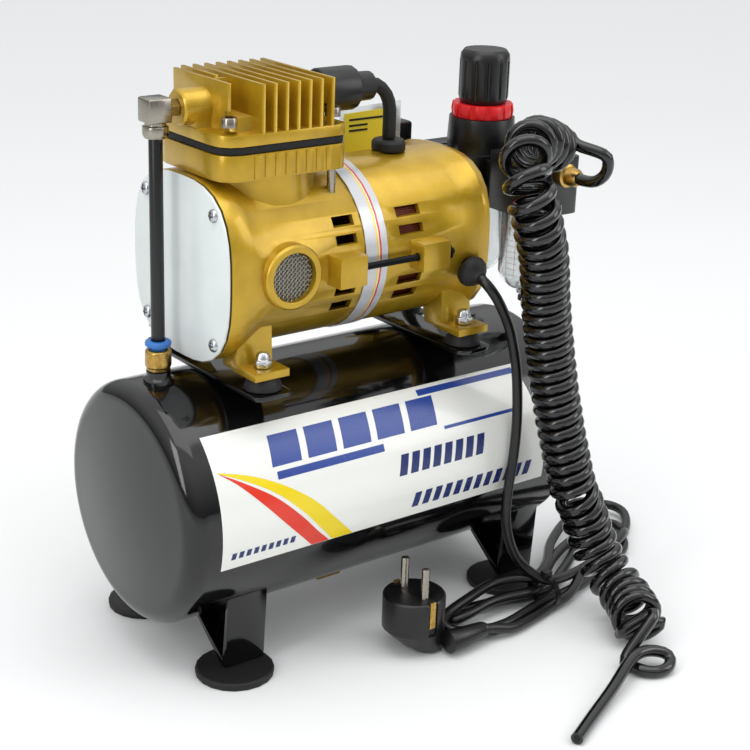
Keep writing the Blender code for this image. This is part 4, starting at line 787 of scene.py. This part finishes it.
# ---- tank and label --------------------------------------------------------------------
def make_tank():
    """Welded tank: barrel and dished heads as one smooth shell, with its bosses."""
    knuckle, rise = 0.012, 0.004
    shape = [(0.0, -TANK_HALF - knuckle - rise)]
    flat = TANK_R - knuckle
    shape += [(flat * k / 8, -TANK_HALF - knuckle - rise * math.cos(math.pi / 2 * k / 8))
              for k in range(1, 8)]
    shape += [(flat + knuckle * math.sin(a), -TANK_HALF - knuckle * math.cos(a))
              for a in [math.pi / 2 * k / 10 for k in range(11)]]
    shape += [(radius, -distance) for radius, distance in reversed(shape)]
    shell = turned("tank_shell", shape, (1, 0, 0), at(0, 0, TANK_Z), "black", steps=128, smooth=60.0)
    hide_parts("tank_barrel", "tank_head_front", "tank_head_rear")
    top = TANK_Z + TANK_R
    riser = TANK_Z + math.sqrt(TANK_R ** 2 - RISER_Y ** 2)
    turned("inlet_boss", [(0, -0.006), (0.0092, -0.006), (0.0086, -0.0008), (0.0085, 0.0018),
                          (0.0068, 0.0030), (0.0068, 0.0062), (0, 0.0062)],
           (0, 0, 1), at(-0.119, 0, top), "black")
    turned("riser_boss", [(0, -0.012), (0.0105, -0.012), (0.0100, 0.006), (0.0092, 0.009), (0, 0.009)],
           (0, 0, 1), at(RISER_X, RISER_Y, riser), "black")
    turned("drain_boss", [(0, -0.003), (0.0095, -0.003), (0.0090, 0.005), (0, 0.005)], (0, 0, -1),
           at(0, 0, TANK_Z - TANK_R), "black")


def printed(name, outlines, finish, lift):
    """Flat shapes of (distance along, degrees above level) laid on the tank's side."""
    bm = bmesh.new()
    for outline in outlines:
        bm.faces.new([bm.verts.new((x, angle, 0.0)) for x, angle in outline])
    for angle in range(-16, 50, 2):
        bmesh.ops.bisect_plane(bm, geom=bm.verts[:] + bm.edges[:] + bm.faces[:], plane_co=(0, angle, 0),
                               plane_no=(0, 1, 0))
    bmesh.ops.triangulate(bm, faces=[f for f in bm.faces if len(f.verts) > 4])
    radius = TANK_R + lift
    for vert in bm.verts:
        x, a = vert.co.x, math.radians(vert.co.y)
        vert.co = at(x, -radius * math.cos(a), TANK_Z + radius * math.sin(a))
    return object_of(name, bm, finish, "machine", 50.0)


def bar(x0, x1, low, high, lean=0.0):
    """A plain bar on the label, leaning by a distance at its top."""
    return ((x0, low), (x1, low), (x1 + lean, high), (x0 + lean, high))


def curve_of(points):
    """More points along a smooth line through the given ones."""
    dense = smooth_route([(x, angle / 1000.0, 0.0) for x, angle in points], 0.002)
    return [(p.x, p.y * 1000.0) for p in dense]


def make_label():
    """White film on the tank's side with a two-colour swoosh and plain bars."""
    film = ((-0.1217, -14.8), (0.1120, -14.8), (0.1085, 16.0), (0.1000, 48.0), (-0.1217, 48.4))
    printed("label_film", [film], "label", FILM_LIFT)
    upper = curve_of([(-0.1189, 31.2), (-0.1000, 26.5), (-0.0810, 19.0), (-0.0620, 8.5), (-0.0470, -3.5),
                      (-0.0335, -14.6)])
    middle = curve_of([(-0.1189, 30.8), (-0.1030, 24.5), (-0.0850, 15.5), (-0.0690, 4.0), (-0.0570, -6.5),
                       (-0.0480, -14.6)])
    printed("swoosh_yellow", [upper + middle[::-1]], "yellow_ink", INK_LIFT)
    upper = curve_of([(-0.1180, 30.4), (-0.1035, 23.5), (-0.0860, 14.0), (-0.0705, 2.5), (-0.0590, -7.5),
                      (-0.0500, -14.6)])
    lower = curve_of([(-0.1180, 30.2), (-0.1080, 23.5), (-0.0940, 12.0), (-0.0810, 1.0), (-0.0700, -8.0),
                      (-0.0620, -14.6)])
    printed("swoosh_red", [upper + lower[::-1]], "red_ink", INK_LIFT)
    blocks = [bar(x, x + 0.0195, 27.5, 42.0, 0.0025) for x in (-0.0850, -0.0610, -0.0370, -0.0130, 0.0110)]
    bands = [bar(0.0240, 0.0980, 43.0, 46.2), bar(0.0350, 0.0930, 24.4, 26.0),
             bar(-0.0830, -0.0100, 21.6, 25.2)]
    printed("label_blocks", blocks + bands, "blue_ink", INK_LIFT)
    strokes = [bar(-0.0020 + 0.0082 * k, 0.0036 + 0.0082 * k, 8.0, 18.0, 0.0028) for k in range(8)]
    strokes += [bar(0.0080 + 0.0078 * k, 0.0128 + 0.0078 * k, -10.0, -2.5, 0.0022) for k in range(12)]
    strokes += [bar(-0.1160 + 0.0048 * k, -0.1130 + 0.0048 * k, -10.0, -6.8, 0.0008) for k in range(9)]
    printed("label_strokes", strokes, "dark_ink", INK_LIFT)


# ---- pump and motor details ---------------------------------------------------------------
def make_tag():
    """Card tag with plain rows in a clear sleeve, hanging behind the head."""
    y = 0.0260
    card = [(0.0230, 0.2935), (0.0610, 0.2945), (0.0610, 0.2712), (0.0230, 0.2700)]
    sleeve = [(0.0200, 0.2965), (0.0655, 0.2978), (0.0655, 0.2705), (0.0200, 0.2690)]
    for name, outline, depth, thick, finish in (("tag_card", card, y, 0.0004, "card"),
                                                 ("tag_sleeve", sleeve, y + 0.0008, 0.0002, "clear_film")):
        bm = bmesh.new()
        faces = [bm.faces.new([bm.verts.new(at(x, depth + dy, z)) for x, z in outline]) for dy in (0, thick)]
        ends = [list(f.verts) for f in faces]
        for k in range(4):
            m = (k + 1) % 4
            bm.faces.new((ends[0][k], ends[0][m], ends[1][m], ends[1][k]))
        object_of(name, bm, finish)
    for k, (z, x) in enumerate(((0.2890, 0.0560), (0.2855, 0.0400), (0.2825, 0.0400))):
        block("rows_" + str(k), at(0.0265, y - 0.0003, z), at(x, y - 0.0001, z + 0.0012), "gasket", "machine")


def make_tie():
    """Cable tie drawn tight round the hank."""
    hank_x, hank_y, hank_z = 0.1005, -0.0895, 0.0101
    half_y, half_z = 0.0125, 0.0096
    bm = bmesh.new()
    rings = []
    for k in range(32):
        a = 2 * math.pi * k / 32
        y, z = math.cos(a), math.sin(a)
        ring = []
        for across, out in ((-0.0016, 0.0), (0.0016, 0.0), (0.0016, 0.0011), (-0.0016, 0.0011)):
            spot = at(hank_x + across, hank_y + (half_y + out) * y, hank_z + (half_z + out) * z)
            ring.append(bm.verts.new(spot))
        rings.append(ring)
    for k in range(32):
        here, there = rings[k], rings[(k + 1) % 32]
        for j in range(4):
            m = (j + 1) % 4
            bm.faces.new((here[j], here[m], there[m], there[j]))
    object_of("hank_tie", bm, "plastic")
    block("tie_lock", at(0.0978, -0.0930, 0.0195), at(0.1032, -0.0880, 0.0235), "plastic", "machine")


def make_plug():
    """Moulded plug with bare metal pins and earth clips, and its ribbed strain relief."""
    plug = refined("mains_plug", 0.0005)
    plug.data.materials.append(FINISH["nickel"])
    pins_from = 0.0364
    for face in plug.data.polygons:
        if face.center.z > pins_from:
            face.material_index = 1
    collar = [(0, 0)]
    for k in range(7):
        d = 0.0030 * k
        r = 0.0064 - 0.00032 * k
        collar += [(r, d), (r, d + 0.0017), (r - 0.0012, d + 0.0019), (r - 0.0012, d + 0.0029)]
    collar += [(0.0034, 0.0215), (0, 0.0215)]
    relief = turned("plug_relief", collar, (1, 0, 0), at(0.0180, -0.1055, 0.0095), "lead", steps=28)
    clips = []
    for side in (-1, 1):
        y = -0.0850 + side * 0.0170
        clips.append(block("earth_clip_" + str(side), at(-0.0020, y - 0.0006, 0.0200),
                           at(0.0020, y + 0.0006, 0.0366), "brass", "machine"))
    return [plug, relief] + clips


def make_gland():
    """Round rubber grommet at the lead's exit, tapering onto the lead."""
    shape = [(0, 0.0), (0.0088, 0.0), (0.0094, 0.0020), (0.0090, 0.0045), (0.0074, 0.0068), (0.0052, 0.0082),
             (0.0043, 0.0096), (0.0038, 0.0110), (0.0032, 0.0112), (0, 0.0112)]
    gland = turned("gland_boot", shape, (0, -0.956, -0.294), at(0.0605, -0.0490, 0.21255), "rubber", steps=48)
    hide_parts("cord_gland")


def make_scale():
    """Scale on the clear bowl: fine red lines facing the pump's end."""
    bm = bmesh.new()
    radius = 0.01862

    def patch(a0, a1, z0, z1):
        steps = max(1, round(abs(a1 - a0) / 4))
        rows = []
        for k in range(steps + 1):
            a = math.radians(a0 + (a1 - a0) * k / steps)
            spot = Vector((UNIT_X + radius * math.cos(a), UNIT_Y + radius * math.sin(a), 0.0))
            rows.append([bm.verts.new(at(spot.x, spot.y, z)) for z in (z0, z1)])
        for here, there in zip(rows, rows[1:]):
            bm.faces.new((here[0], there[0], there[1], here[1]))

    for k in range(9):
        patch(158, 206, 0.1960 + 0.0036 * k, 0.1962 + 0.0036 * k)
    for a in (163, 181, 200):
        patch(a, a + 0.8, 0.1950, 0.2260)
    object_of("bowl_scale", bm, "scale_ink", "machine", 60.0)


place_camera()
light_studio()
lay_floor()
make_tank()
make_label()
fasteners()
make_mesh()
make_tag()
make_tie()
make_gland()
make_scale()
make_fitting()
hose_line = make_hose()
lead_line = make_lead(make_plug())
DONE = {"tank_barrel", "tank_head_front", "tank_head_rear", "mains_plug", "cord_gland", "hose_fitting"}
SPECIAL = {"trim_band": {"edge": 0.0}, "intake_mesh": {"finish": "felt"}}
for node in frame["nodes"]:
    if node not in DONE and not frame["nodes"][node].hide_render:
        refined(node, **SPECIAL.get(node, {}))
print("hose", round(length_of(hose_line), 3), "lead", round(length_of(lead_line), 3))
